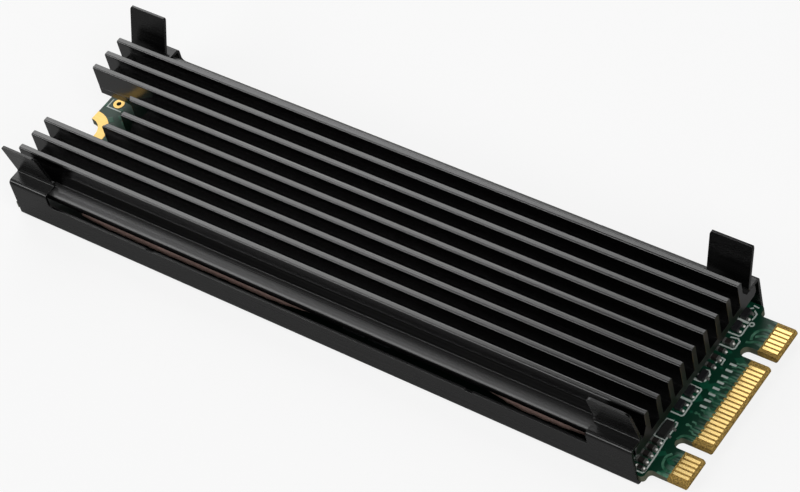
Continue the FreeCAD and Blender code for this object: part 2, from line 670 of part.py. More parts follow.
closed_outline(pad_sketch, pad_near_side + pad_far_side[::-1])
pad(thermal_pad, "SqueezedPad", pad_sketch, "Sizes.pad_thickness")


def package(label, start, middle_y, length, width, height):
    """A moulded package: thin carrier, moulded body set in a little, shallow dot at one corner."""
    body = new_body(label)
    end = "(%s + %s)" % (start, length)
    near = "(%s - %s / 2)" % (middle_y, width)
    far = "(%s + %s / 2)" % (middle_y, width)
    carrier_sketch = sketch_on(body, label + "_CarrierOutline", "XY_Plane", BOARD_TOP)
    rectangle_outline(carrier_sketch, start, near, end, far)
    pad(body, label + "_Carrier", carrier_sketch, "Sizes.carrier_height")
    mould_sketch = sketch_on(body, label + "_MouldOutline", "XY_Plane",
                             "%s + Sizes.carrier_height" % BOARD_TOP)
    rectangle_outline(mould_sketch, "(%s + Sizes.mould_inset)" % start,
                      "(%s + Sizes.mould_inset)" % near, "(%s - Sizes.mould_inset)" % end,
                      "(%s - Sizes.mould_inset)" % far)
    pad(body, label + "_Mould", mould_sketch, "%s - Sizes.carrier_height" % height)
    dot_sketch = sketch_on(body, label + "_DotOutline", "XY_Plane",
                           "%s + %s - Sizes.dot_depth" % (BOARD_TOP, height))
    circle_outline(dot_sketch, "(%s + Sizes.dot_inset)" % start,
                   "(%s - Sizes.dot_inset)" % far, "Sizes.dot_radius")
    cut(body, label + "_Dot", dot_sketch, both_ways=False, reversed_way=True,
        depth="Sizes.dot_depth")
    return body


# Packages under the pad: two memory packages by the screw end, then cache memory, and the
# controller at the pad's other end. The gaps between them are shares of the length left over.
ROW_START = "(%s + Sizes.package_margin)" % PAD_START
ROW_END = "(%s - Sizes.package_margin)" % PAD_END
SPARE = ("(%s - %s - 2 * Sizes.memory_length - Sizes.cache_length - Sizes.controller_length)"
         % (ROW_END, ROW_START))
INNER_START = "(%s + Sizes.memory_length + 0.16 * %s)" % (ROW_START, SPARE)
CACHE_START = "(%s + Sizes.memory_length + 0.24 * %s)" % (INNER_START, SPARE)
CONTROLLER_START = "(%s - Sizes.controller_length)" % ROW_END
MEMORY_WIDTH = "(Sizes.board_width - 2 * Sizes.memory_edge_gap)"
CACHE_WIDTH = "(Sizes.board_width - 2 * Sizes.cache_edge_gap)"
CONTROLLER_WIDTH = "(Sizes.board_width - 2 * Sizes.controller_edge_gap)"
FULL = "Sizes.package_height"
package("memory_package_outer", ROW_START, "0", "Sizes.memory_length", MEMORY_WIDTH, FULL)
package("memory_package_inner", INNER_START, "0", "Sizes.memory_length", MEMORY_WIDTH, FULL)
package("cache_memory", CACHE_START, "0", "Sizes.cache_length", CACHE_WIDTH, FULL)
package("controller", CONTROLLER_START, "0", "Sizes.controller_length", CONTROLLER_WIDTH, FULL)
CACHE_MIDDLE = "(%s + Sizes.cache_length / 2)" % CACHE_START
CONTROLLER_MIDDLE = "(%s + Sizes.controller_length / 2)" % CONTROLLER_START
SIDE_ROW = "(%s - Sizes.side_row_offset)" % HALF_BOARD
CONVERTER_START = "(%s - Sizes.converter_side)" % CACHE_MIDDLE
package("power_converter", CONVERTER_START, SIDE_ROW, "Sizes.converter_side",
        "Sizes.converter_side", "Sizes.converter_height")


def part(name, x, y, length, width, height):
    """A box-shaped part standing on the board with its middle at x, y."""
    return box(name, ("%s - %s / 2" % (x, length), "%s - %s / 2" % (y, width), BOARD_TOP),
               (length, width, height))


# Small parts beside the cache memory and the controller, in a row by each long edge.
NEAR_ROW = minus(SIDE_ROW)
grouped("power_inductors", [
    part("inductor_%d" % i, "(%s %+.1f * Sizes.inductor_length)" % (CACHE_MIDDLE, step), NEAR_ROW,
         "Sizes.inductor_length", "Sizes.inductor_width", "Sizes.inductor_height")
    for i, step in enumerate((-0.6, 0.6), start=1)])
CRYSTAL_X = "(%s - 1.7 * Sizes.crystal_length)" % CONTROLLER_MIDDLE
crystal = part("crystal", CRYSTAL_X, SIDE_ROW, "Sizes.crystal_length", "Sizes.crystal_width",
               "Sizes.crystal_height")
crystal.Label = "clock_crystal"
BUFFER_PLACES = ([(CONTROLLER_MIDDLE, SIDE_ROW, step) for step in (-2.5, 1.0, 4.5, 8.0)]
                 + [(CONTROLLER_MIDDLE, NEAR_ROW, step) for step in (-8.0, -4.5, -1.0, 2.5, 6.0)]
                 + [(CACHE_MIDDLE, SIDE_ROW, step) for step in (2.0, 5.0)])
grouped("buffer_capacitors", [
    part("buffer_capacitor_%d" % i, "(%s %+.1f * Sizes.chip_width)" % (x, step), y,
         "Sizes.chip_width", "Sizes.chip_length", "Sizes.chip_height")
    for i, (x, y, step) in enumerate(BUFFER_PLACES, start=1)])

# Row of small parts along the heat sink's connector end, partly under its overhang. Each place
# is a share of a chip's length from the row's middle line in X, and of the board's width in Y.
ROW_X = "(%s - Sizes.row_setback)" % PLUG_END
BANK_PLACES = [(0.0, -0.4305), (0.0, -0.3941), (0.0, -0.3577), (0.0, -0.3214)]
CAPACITOR_PLACES = [(-0.12, 0.1645), (0.1, 0.2614)]
RESISTOR_PLACES = [(-0.08, 0.1205), (-0.08, 0.2136), (0.26, -0.4640)]
REGULATOR_PLACES = [(0.17, -0.2523)]
DIODE_PLACES = [(0.0, 0.0591)]
TRANSISTOR_PLACES = [(-0.15, -0.1173), (-0.15, -0.0364), (-0.15, 0.3500), (-0.15, 0.4250)]
terminals = []
joints = []


def row_place(place):
    """A place in the row as two expressions."""
    return ("(%s %+.2f * Sizes.chip_length)" % (ROW_X, place[0]),
            "(%.4f * Sizes.board_width)" % place[1])


def solder_wedge(name, face, y, outward, width, height):
    """A solder joint that slopes down to the board from an upright face."""
    wedge = doc.addObject("Part::Wedge", name)
    for side, expression in (("Xmin", "0"), ("Xmax", "Sizes.joint_length"),
                             ("Ymin", "0"), ("Ymax", "0.75 * " + height),
                             ("Zmin", "0"), ("Zmax", width),
                             ("X2min", "0"), ("X2max", "0.15 * Sizes.joint_length"),
                             ("Z2min", "0.1 * " + width), ("Z2max", "0.9 * " + width)):
        wedge.setExpression(side, expression)
    upright = Rotation(Vector(1.0, 0.0, 0.0), 90.0)
    about = Rotation(Vector(0.0, 0.0, 1.0), 0.0 if outward > 0 else 180.0)
    wedge.Placement = Placement(Vector(0.0, 0.0, 0.0), about.multiply(upright))
    wedge.setExpression("Placement.Base.x", face)
    wedge.setExpression("Placement.Base.y", "%s %+d * %s / 2" % (y, outward, width))
    wedge.setExpression("Placement.Base.z", BOARD_TOP)
    joints.append(wedge)


def terminal(name, face, y, outward, length, width, height):
    """A plated end or lead that reaches outward from a face, with its solder joint."""
    low = face if outward > 0 else "(%s - %s)" % (face, length)
    end = "(%s %+d * %s)" % (face, outward, length)
    terminals.append(box(name, (low, "%s - %s / 2" % (y, width), BOARD_TOP),
                         (length, width, height)))
    solder_wedge(name + "_solder", end, y, outward, width, height)


def chip_row(label, places, length, width, height):
    """Chip parts: a sintered middle between two plated ends."""
    middles = []
    core = "(%s - 2 * Sizes.terminal_length)" % length
    for i, place in enumerate(places, start=1):
        x, y = row_place(place)
        middles.append(part("%s_%d" % (label, i), x, y, core, width, height))
        for outward in (1, -1):
            face = "(%s %+d * %s / 2)" % (x, outward, core)
            terminal("%s_%d_end_%s" % (label, i, "out" if outward > 0 else "in"), face, y,
                     outward, "Sizes.terminal_length", width, height)
    grouped(label, middles)


def moulded_row(label, places, length, width, height, outer_leads, inner_leads):
    """Moulded parts with flat leads. Leads are shares of the part's width from its middle."""
    bodies = []
    for i, place in enumerate(places, start=1):
        x, y = row_place(place)
        bodies.append(part("%s_%d" % (label, i), x, y, length, width, height))
        for outward, leads in ((1, outer_leads), (-1, inner_leads)):
            for j, share in enumerate(leads, start=1):
                terminal("%s_%d_lead_%d_%s" % (label, i, j, "out" if outward > 0 else "in"),
                         "(%s %+d * %s / 2)" % (x, outward, length),
                         "(%s %+.3f * %s)" % (y, share, width), outward,
                         "Sizes.lead_length", "Sizes.lead_width", "Sizes.lead_height")
    grouped(label, bodies)


chip_row("capacitor_bank", BANK_PLACES, "Sizes.chip_length", "Sizes.chip_width",
         "Sizes.chip_height")
chip_row("row_capacitors", CAPACITOR_PLACES, "Sizes.chip_length", "Sizes.chip_width",
         "Sizes.chip_height")
chip_row("row_resistors", RESISTOR_PLACES, "Sizes.small_chip_length", "Sizes.small_chip_width",
         "Sizes.small_chip_height")
moulded_row("small_regulator", REGULATOR_PLACES, "Sizes.regulator_length",
            "Sizes.regulator_width", "Sizes.regulator_height", (-0.25, 0.25), (-0.25, 0.25))
moulded_row("small_diode", DIODE_PLACES, "Sizes.transistor_length", "Sizes.transistor_width",
            "Sizes.transistor_height", (0.0,), (0.0,))
moulded_row("small_transistors", TRANSISTOR_PLACES, "Sizes.transistor_length",
            "Sizes.transistor_width", "Sizes.transistor_height", (-0.34, 0.34), (0.0,))
grouped("part_terminals", terminals)
grouped("solder_joints", joints)
doc.recompute()

# Every object is sound before anything is written.
for item in doc.Objects:
    if any(word in item.State for word in ("Invalid", "Error")):
        raise ValueError("%s is in a bad state: %s" % (item.Name, item.State))

NODES = [
    "heat_sink", "clip_tray", "insulating_film", "drive_board", "screw_notch_plating",
    "test_ring", "contacts_upper", "contacts_lower", "thermal_pad", "memory_package_outer",
    "memory_package_inner", "cache_memory", "controller", "power_converter", "power_inductors",
    "clock_crystal", "buffer_capacitors", "capacitor_bank", "row_capacitors", "row_resistors",
    "small_regulator", "small_diode", "small_transistors", "part_terminals", "solder_joints",
]
pieces = []
for node in NODES:
    piece = doc.getObjectsByLabel(node)[0]
    if piece.Shape.isNull() or not piece.Shape.isValid():
        raise ValueError("%s has no valid shape" % node)
    pieces.append(piece)

os.makedirs("parts", exist_ok=True)
for piece in pieces:
    piece.Shape.exportStep("parts/%s.step" % piece.Label)
    extent = piece.Shape.BoundBox
    print("%s solids %d volume %.3f box %.2f..%.2f %.2f..%.2f %.2f..%.2f" % (
        piece.Label, len(piece.Shape.Solids), piece.Shape.Volume,
        extent.XMin, extent.XMax, extent.YMin, extent.YMax, extent.ZMin, extent.ZMax))
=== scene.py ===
"""Looks of a plug-in drive module in a folded steel tray under a clip-on finned heat sink."""

import math

import bpy
import numpy as np
from mathutils import Matrix, Vector


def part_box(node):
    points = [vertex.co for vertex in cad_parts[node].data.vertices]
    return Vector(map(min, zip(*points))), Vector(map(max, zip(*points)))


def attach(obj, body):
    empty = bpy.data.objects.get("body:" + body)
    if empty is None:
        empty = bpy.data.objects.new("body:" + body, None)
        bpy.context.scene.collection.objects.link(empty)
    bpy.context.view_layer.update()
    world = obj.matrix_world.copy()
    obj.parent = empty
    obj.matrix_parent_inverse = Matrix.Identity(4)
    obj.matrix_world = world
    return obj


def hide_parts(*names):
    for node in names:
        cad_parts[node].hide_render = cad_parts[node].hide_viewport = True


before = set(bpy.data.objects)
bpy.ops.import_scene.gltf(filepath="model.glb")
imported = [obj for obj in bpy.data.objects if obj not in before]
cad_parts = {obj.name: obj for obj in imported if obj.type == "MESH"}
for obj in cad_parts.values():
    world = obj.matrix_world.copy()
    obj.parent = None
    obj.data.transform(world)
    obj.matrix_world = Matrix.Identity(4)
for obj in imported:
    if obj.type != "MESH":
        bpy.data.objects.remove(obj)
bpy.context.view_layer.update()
MM = 0.001

# Heat sink: one length of extruded aluminium alloy, sawn and milled, then sulphuric anodised
# and dyed black. The die leaves fine lines along its length, and the sawn fin ends and edges
# take less dye, so they look a little greyer.


def add(tree, kind, settings, sockets):
    """Add a node of a kind with its settings, each socket holding a link or a plain value."""
    made = tree.nodes.new("ShaderNode" + kind)
    for name, value in settings.items():
        setattr(made, name, value)
    for key, value in sockets.items():
        if isinstance(value, bpy.types.NodeSocket):
            tree.links.new(value, made.inputs[key])
        else:
            made.inputs[key].default_value = value
    return made


def linear(code):
    """A linear colour from an sRGB hex value: the sRGB curve undone, channel by channel."""
    parts = [int(code[i:i + 2], 16) / 255 for i in (1, 3, 5)]
    return [v / 12.92 if v <= 0.04045 else ((v + 0.055) / 1.055) ** 2.4 for v in parts] + [1.0]


def per_metre(size_mm):
    """Texture scale for a grain of so many millimetres, on Object coordinates in metres."""
    return 1.0 / (size_mm * MM)


def new_material(name, shader_values):
    """An empty node material with one surface shader holding the uniform values given."""
    made = bpy.data.materials.new(name)
    made.use_nodes = True
    tree = made.node_tree
    tree.nodes.clear()
    shader = add(tree, "BsdfPrincipled", {}, shader_values)
    add(tree, "OutputMaterial", {}, {"Surface": shader.outputs["BSDF"]})
    place = add(tree, "TexCoord", {}, {}).outputs["Object"]
    return made, tree, shader, place


def edge_share(tree, radius_mm, gain):
    """How close a point is to a sharp edge: one less the dot of the rounded and true normals."""
    rounded = add(tree, "Bevel", {"samples": 4}, {"Radius": radius_mm * MM}).outputs["Normal"]
    true = add(tree, "NewGeometry", {}, {}).outputs["Normal"]
    likeness = add(tree, "VectorMath", {"operation": "DOT_PRODUCT"}, {0: rounded, 1: true})
    return add(tree, "MapRange", {"clamp": True},
               {"Value": likeness.outputs["Value"], "From Min": 1.0, "From Max": 1.0 - gain})


def dress(node, finish):
    """Give a solid of the frame its finish."""
    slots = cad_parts[node].data.materials
    slots.clear()
    slots.append(finish)


anodised, tree, shader, place = new_material("black_anodised_aluminium", {
    "Metallic": 0.0, "IOR": 1.76})
# Die lines run along X: 0.16 mm apart across the extrusion, and tens of millimetres long.
lines_place = add(tree, "Mapping", {}, {"Vector": place, "Scale": (
    per_metre(30.0), per_metre(0.16), per_metre(0.16))})
lines = add(tree, "TexNoise", {}, {"Vector": lines_place.outputs["Vector"], "Scale": 1.0,
                                   "Detail": 2.0, "Roughness": 0.6})
# Dye takes unevenly over a few millimetres, and the bead-blasted grain is about 0.07 mm.
cloud = add(tree, "TexNoise", {}, {"Vector": place, "Scale": per_metre(4.0), "Detail": 3.0})
grain = add(tree, "TexNoise", {}, {"Vector": place, "Scale": per_metre(0.07), "Detail": 1.0})
edge_rub_and_highlight = edge_share(tree, 0.06, 0.35)
tone = add(tree, "Mix", {"data_type": "RGBA"},
           {0: cloud.outputs["Fac"], 6: linear("#020202"), 7: linear("#050505")})
streaked = add(tree, "MapRange", {}, {"Value": lines.outputs["Fac"], "From Min": 0.35,
                                      "From Max": 0.65, "To Min": 0.0, "To Max": 0.5})
tone = add(tree, "Mix", {"data_type": "RGBA"},
           {0: streaked.outputs["Result"], 6: tone.outputs[2], 7: linear("#0c0c0c")})
edge_rub_and_highlight_amount = add(tree, "Math", {"operation": "MULTIPLY"}, {0: edge_rub_and_highlight.outputs["Result"], 1: 0.4})
tone = add(tree, "Mix", {"data_type": "RGBA"},
           {0: edge_rub_and_highlight_amount.outputs["Value"], 6: tone.outputs[2], 7: linear("#242424")})
# The fin tops alone are painted lighter in streaks along the die lines: a painted highlight.
FIN_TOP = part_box("heat_sink")[1].z
TOP_ALLOWANCE = 0.01
where = add(tree, "SeparateXYZ", {}, {"Vector": place})
topmost = add(tree, "Math", {"operation": "GREATER_THAN"}, {
    0: where.outputs["Z"], 1: FIN_TOP - TOP_ALLOWANCE * MM})
painted_top_highlight = add(tree, "MapRange", {"clamp": True}, {"Value": lines.outputs["Fac"],
                                                 "From Min": 0.5, "From Max": 0.62})
painted_top_highlight = add(tree, "Math", {"operation": "MULTIPLY"},
             {0: painted_top_highlight.outputs["Result"], 1: topmost.outputs["Value"]})
tone = add(tree, "Mix", {"data_type": "RGBA"},
           {0: painted_top_highlight.outputs["Value"], 6: tone.outputs[2], 7: linear("#343434")})
# Both flanges' upward faces are painted paler from the fin out to the rounded edge, a painted
# highlight growing towards the outer curve, and they are duller there.
FLANGE_INNER = 8.8
FLANGE_OUTER = 10.4
UPWARD = 0.7
facing = add(tree, "SeparateXYZ", {}, {
    "Vector": add(tree, "NewGeometry", {}, {}).outputs["True Normal"]})
upward = add(tree, "Math", {"operation": "GREATER_THAN"}, {0: facing.outputs["Z"], 1: UPWARD})
aside = add(tree, "Math", {"operation": "ABSOLUTE"}, {0: where.outputs["Y"]})
flange_highlight_and_dulling = add(tree, "MapRange", {"clamp": True}, {
    "Value": aside.outputs["Value"], "From Min": FLANGE_INNER * MM,
    "From Max": FLANGE_OUTER * MM, "To Max": 0.9})
flange_highlight_and_dulling = add(tree, "Math", {"operation": "MULTIPLY"},
             {0: flange_highlight_and_dulling.outputs["Result"], 1: upward.outputs["Value"]})
tone = add(tree, "Mix", {"data_type": "RGBA"},
           {0: flange_highlight_and_dulling.outputs["Value"], 6: tone.outputs[2], 7: linear("#444444")})
# The sawn ends face along X. Their saw marks are 0.1 mm apart and take less dye.
ENDWARD = 0.9
sawn = add(tree, "Math", {"operation": "ABSOLUTE"}, {0: facing.outputs["X"]})
sawn = add(tree, "Math", {"operation": "GREATER_THAN"}, {0: sawn.outputs["Value"], 1: ENDWARD})
saw_place = add(tree, "Mapping", {}, {"Vector": place, "Scale": (
    per_metre(0.3), per_metre(2.0), per_metre(0.1))})
saw_marks = add(tree, "TexNoise", {}, {"Vector": saw_place.outputs["Vector"], "Scale": 1.0,
                                       "Detail": 2.0})
sawn_tone = add(tree, "Mix", {"data_type": "RGBA"},
                {0: saw_marks.outputs["Fac"], 6: linear("#131415"), 7: linear("#1f2021")})
# They are painted darker down at the base and paler towards the fin tops: painted shade in the
# grooves.
DARK_BELOW = 4.2
PALE_ABOVE = 6.8
painted_end_shade_ramp = add(tree, "MapRange", {"clamp": True}, {
    "Value": where.outputs["Z"], "From Min": DARK_BELOW * MM, "From Max": PALE_ABOVE * MM})
sawn_tone = add(tree, "Mix", {"data_type": "RGBA"},
                {0: painted_end_shade_ramp.outputs["Result"], 6: linear("#050505"), 7: sawn_tone.outputs[2]})
tone = add(tree, "Mix", {"data_type": "RGBA"},
           {0: sawn.outputs["Value"], 6: tone.outputs[2], 7: sawn_tone.outputs[2]})
tree.links.new(tone.outputs[2], shader.inputs["Base Color"])
rough = add(tree, "MapRange", {}, {"Value": lines.outputs["Fac"], "From Min": 0.3,
                                   "From Max": 0.7, "To Min": 0.13, "To Max": 0.19})
rough = add(tree, "Mix", {"data_type": "FLOAT"}, {
    0: flange_highlight_and_dulling.outputs["Value"], 2: rough.outputs["Result"], 3: 0.42})
sawn_rough = add(tree, "MapRange", {}, {"Value": saw_marks.outputs["Fac"], "To Min": 0.26,
                                        "To Max": 0.36})
rough = add(tree, "Mix", {"data_type": "FLOAT"}, {
    0: sawn.outputs["Value"], 2: rough.outputs[0], 3: sawn_rough.outputs["Result"]})
tree.links.new(rough.outputs[0], shader.inputs["Roughness"])
# Blasting has softened every edge by 0.05 mm, and the flanges' crowns are smooth curves.
CROWN_INNER = 9.4
CROWN_OUTER = 9.6
BLASTED_RADIUS = 0.05
CROWN_RADIUS = 0.2
softening = add(tree, "MapRange", {"clamp": True}, {
    "Value": aside.outputs["Value"], "From Min": CROWN_INNER * MM, "From Max": CROWN_OUTER * MM,
    "To Min": BLASTED_RADIUS * MM, "To Max": CROWN_RADIUS * MM})
softened = add(tree, "Bevel", {"samples": 6}, {"Radius": softening.outputs["Result"]})
relief = add(tree, "Bump", {}, {"Height": lines.outputs["Fac"], "Strength": 0.5,
                                "Distance": 0.001 * MM, "Normal": softened.outputs["Normal"]})
relief = add(tree, "Bump", {}, {"Height": grain.outputs["Fac"], "Strength": 0.2,
                                "Distance": 0.003 * MM, "Normal": relief.outputs["Normal"]})
tree.links.new(relief.outputs["Normal"], shader.inputs["Normal"])
dress("heat_sink", anodised)

# Clip tray: one blank of 0.3 mm spring steel strip, punched, folded into a trough with four
# clips, and blackened afterwards by baked paint, so that its sheared edges are black too.
blackened, tree, shader, place = new_material("baked_black_spring_steel", {
    "Metallic": 0.0, "IOR": 1.5})
cloud = add(tree, "TexNoise", {}, {"Vector": place, "Scale": per_metre(6.0), "Detail": 4.0})
grain = add(tree, "TexNoise", {}, {"Vector": place, "Scale": per_metre(0.14), "Detail": 2.0})
rub_place = add(tree, "Mapping", {}, {"Vector": place, "Scale": (
    per_metre(9.0), per_metre(0.35), per_metre(0.35))})
rub = add(tree, "TexNoise", {}, {"Vector": rub_place.outputs["Vector"], "Scale": 1.0,
                                 "Detail": 3.0})
# The sheet's edges and bends are painted lighter in patches: a painted highlight along them.
edge_rub_and_highlight = edge_share(tree, 0.11, 0.35)
tone = add(tree, "Mix", {"data_type": "RGBA"},
           {0: cloud.outputs["Fac"], 6: linear("#050505"), 7: linear("#0a0a0a")})
patchy_edge_highlight = add(tree, "MapRange", {}, {"Value": cloud.outputs["Fac"], "To Min": 0.3,
                                            "To Max": 1.0})
edge_rub_and_highlight_amount = add(tree, "Math", {"operation": "MULTIPLY"},
           {0: edge_rub_and_highlight.outputs["Result"], 1: patchy_edge_highlight.outputs["Result"]})
tone = add(tree, "Mix", {"data_type": "RGBA"},
           {0: edge_rub_and_highlight_amount.outputs["Value"], 6: tone.outputs[2], 7: linear("#4e4e4e")})
tree.links.new(tone.outputs[2], shader.inputs["Base Color"])
rough = add(tree, "MapRange", {}, {"Value": rub.outputs["Fac"], "From Min": 0.3,
                                   "From Max": 0.7, "To Min": 0.2, "To Max": 0.32})
tree.links.new(rough.outputs["Result"], shader.inputs["Roughness"])
# Punching and folding leave the sheet's edges and bends rounded over 0.1 mm.
softened = add(tree, "Bevel", {"samples": 6}, {"Radius": 0.1 * MM})
relief = add(tree, "Bump", {}, {"Height": grain.outputs["Fac"], "Strength": 0.5,
                                "Distance": 0.004 * MM, "Normal": softened.outputs["Normal"]})
tree.links.new(relief.outputs["Normal"], shader.inputs["Normal"])
dress("clip_tray", blackened)

# Thermal pad: filled silicone rubber, cut from a sheet and squeezed by the clips until its long
# edges bulge out over the packages. It is soft, slightly oily and reddish brown from its filler.
PACKAGE_EDGE = 9.1
PAD_OVERHANG = 0.5
PAD_SWELL = 0.67
PAD_SAG = 0.45
PAD_END_ROUNDING = 0.4
# The rounding of the ends starts this many radians up its quarter turn, so they stay blunt.
PAD_END_TURN = 0.25
# The waves are averaged over this many columns to each side.
WAVE_SPREAD = 9
# Size, rate along X and shift of each fine ripple of the bulge.
PAD_RIPPLES = ((0.02, 3.1, 0.0), (0.01, 7.3, 1.0))
# Half of the pad's section from its underside to its top: shares of the overhang, and heights
# as shares of the thickness, or of the sag below the packages' tops where they are negative.
PAD_SECTION = ((0.0, 0.0), (0.08, -0.85), (0.45, -1.0), (0.85, -0.75), (1.0, -0.2), (0.94, 0.2),
               (0.76, 0.5), (0.58, 0.75), (0.46, 0.92), (0.3, 1.0))
# Share of the full bulge at shares of the pad's length: over the memory and the controller.
PAD_WAVES = ((0.0, 0.5), (0.03, 0.95), (0.2, 1.0), (0.34, 0.9), (0.40, 1.0), (0.50, 0.0),
             (0.80, 0.0), (0.85, 1.0), (0.965, 0.9), (1.0, 0.3))


def placed(name, points, faces, finish):
    """A mesh object in the row frame from points in millimetres, riding on the module."""
    mesh = bpy.data.meshes.new(name)
    mesh.from_pydata((np.asarray(points) * MM).tolist(), [], faces)
    mesh.materials.append(finish)
    made = bpy.data.objects.new(name, mesh)
    bpy.context.scene.collection.objects.link(made)
    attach(made, "root")
    return made


def squeezed_pad(low, high, columns=260, end_columns=5):
    """A flat strip whose edges bulge out and sag: a section carried along X.

    overhang = PAD_OVERHANG + (PAD_SWELL + ripple) * swell, where swell is the wave share read
    between PAD_WAVES and averaged over its neighbours, and ripple is the sum of two fine sines.
    y = PACKAGE_EDGE + overhang * aside
    z = low + thickness * height above the underside, or low + PAD_SAG * swell * height below it
    At both ends X moves in by PAD_END_ROUNDING * (1 - sin turn), and the heights shrink towards
    the middle by sin turn, so that the ends are rounded too.
    """
    turn = np.linspace(PAD_END_TURN, math.pi / 2, end_columns, endpoint=False)
    inward = PAD_END_ROUNDING * (1 - np.sin(turn))
    along = np.concatenate([
        low.x + inward,
        np.linspace(low.x + PAD_END_ROUNDING, high.x - PAD_END_ROUNDING, columns),
        high.x - inward[::-1]])
    fade = np.concatenate([np.sin(turn), np.ones(columns), np.sin(turn)[::-1]])
    share = (along - low.x) / (high.x - low.x)
    places, shares = np.array(PAD_WAVES).T
    window = np.ones(2 * WAVE_SPREAD + 1) / (2 * WAVE_SPREAD + 1)
    swell = np.pad(np.interp(share, places, shares), WAVE_SPREAD, mode="edge")
    swell = np.convolve(swell, window, mode="valid")
    ripple = sum(size * np.sin(along * rate + shift) for size, rate, shift in PAD_RIPPLES)
    overhang = PAD_OVERHANG + (PAD_SWELL + ripple) * swell
    aside, high_share = np.array(PAD_SECTION).T
    out = PACKAGE_EDGE + overhang[:, None] * aside[None, :]
    over = np.clip(high_share, 0.0, 1.0)[None, :] * (high.z - low.z)
    under = np.clip(high_share, -1.0, 0.0)[None, :] * (PAD_SAG * swell)[:, None]
    middle = (low.z + high.z) / 2
    up = middle + (low.z + over + under - middle) * fade[:, None]
    far = np.stack([np.repeat(along[:, None], len(aside), 1), out, up], 2)
    near = far[:, ::-1] * [1.0, -1.0, 1.0]
    ring = np.concatenate([far, near], 1)
    count, around = ring.shape[:2]
    first = np.arange(count - 1)[:, None] * around
    spot = np.arange(around)[None, :]
    onward = (spot + 1) % around
    faces = np.stack([first + spot, first + around + spot, first + around + onward,
                      first + onward], 2).reshape(-1, 4).tolist()
    last = (count - 1) * around
    faces += [list(range(around)), [last + i for i in range(around)][::-1]]
    return ring.reshape(-1, 3), faces


def two_tone(name, shader_values, grain_mm, detail, dark, light):
    """A new material whose colour runs from dark to light with a noise of so many millimetres."""
    made, tree, shader, place = new_material(name, shader_values)
    noise = add(tree, "TexNoise", {}, {"Vector": place, "Scale": per_metre(grain_mm),
                                       "Detail": detail})
    tone = add(tree, "Mix", {"data_type": "RGBA"},
               {0: noise.outputs["Fac"], 6: linear(dark), 7: linear(light)})
    tree.links.new(tone.outputs[2], shader.inputs["Base Color"])
    return made, tree, shader, place, noise.outputs["Fac"]


silicone, tree, shader, place, speckle = two_tone("filled_silicone_rubber", {
    "IOR": 1.41, "Specular IOR Level": 0.4}, 0.2, 4.0, "#8a6a60", "#b8a097")
swelling = add(tree, "TexNoise", {}, {"Vector": place, "Scale": per_metre(2.5), "Detail": 2.0})
rough = add(tree, "MapRange", {}, {"Value": swelling.outputs["Fac"], "To Min": 0.45,
                                   "To Max": 0.65})
tree.links.new(rough.outputs["Result"], shader.inputs["Roughness"])
relief = add(tree, "Bump", {}, {"Height": swelling.outputs["Fac"], "Strength": 0.6,
                                "Distance": 0.12 * MM})
relief = add(tree, "Bump", {}, {"Height": speckle, "Strength": 0.4, "Distance": 0.02 * MM,
                                "Normal": relief.outputs["Normal"]})
tree.links.new(relief.outputs["Normal"], shader.inputs["Normal"])
pad_low, pad_high = (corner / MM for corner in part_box("thermal_pad"))
points, faces = squeezed_pad(pad_low, pad_high)
pad = placed("squeezed_thermal_pad", points, faces, silicone)
pad.data.polygons.foreach_set("use_smooth", [len(f) == 4 for f in faces])
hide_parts("thermal_pad")

# Insulating film: a matt black polyester sheet, cut to the tray's floor and laid in it, so that
# the board's underside can't touch the steel.
film, tree, shader, place, haze = two_tone("matt_black_polyester_film", {"IOR": 1.64},
                                           5.0, 3.0, "#0f0f0f", "#161616")
rough = add(tree, "MapRange", {}, {"Value": haze, "To Min": 0.5, "To Max": 0.65})
tree.links.new(rough.outputs["Result"], shader.inputs["Roughness"])
dress("insulating_film", film)

# Drive board: copper layers in woven glass and epoxy, 0.8 mm thick, routed to outline.
# Its faces have a glossy green solder mask over copper areas. The mask stops short of the edge
# contacts, where the bare laminate is golden brown, as it is on the cut edges.
# Along X: the mask's end, where the haze over the tracks starts, where the stain on the cut
# edges ends, and the end of what the heat sink covers.
MASK_END = 37.95
HAZE_START = 37.1
STAIN_END = 37.85
SINK_END = 34.0
# Aside of the middle: where the painted shade along the long edges starts, and where it is full.
EDGE_SHADE_START = 8.6
EDGE_SHADE_FULL = 9.0
LEVEL = 0.95
board_finish, tree, shader, place = new_material("solder_masked_glass_laminate", {
    "IOR": 1.5, "Specular IOR Level": 0.38})
BOARD_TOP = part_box("drive_board")[1].z / MM
cloud = add(tree, "TexNoise", {}, {"Vector": place, "Scale": per_metre(2.2), "Detail": 3.0})
copper_place = add(tree, "Mapping", {}, {"Vector": place, "Scale": (
    per_metre(1.5), per_metre(1.1), per_metre(1.3))})
copper = add(tree, "TexVoronoi", {"distance": "MANHATTAN"},
             {"Vector": copper_place.outputs["Vector"], "Scale": 1.0})
copper_share = add(tree, "MapRange", {"clamp": True}, {
    "Value": copper.outputs["Distance"], "From Min": 0.52, "From Max": 0.6,
    "To Min": 1.0, "To Max": 0.0})
mask_tone = add(tree, "Mix", {"data_type": "RGBA"},
                {0: cloud.outputs["Fac"], 6: linear("#0a4430"), 7: linear("#18654a")})
mask_tone = add(tree, "Mix", {"data_type": "RGBA"},
                {0: copper_share.outputs["Result"], 6: linear("#093a29"),
                 7: mask_tone.outputs[2]})
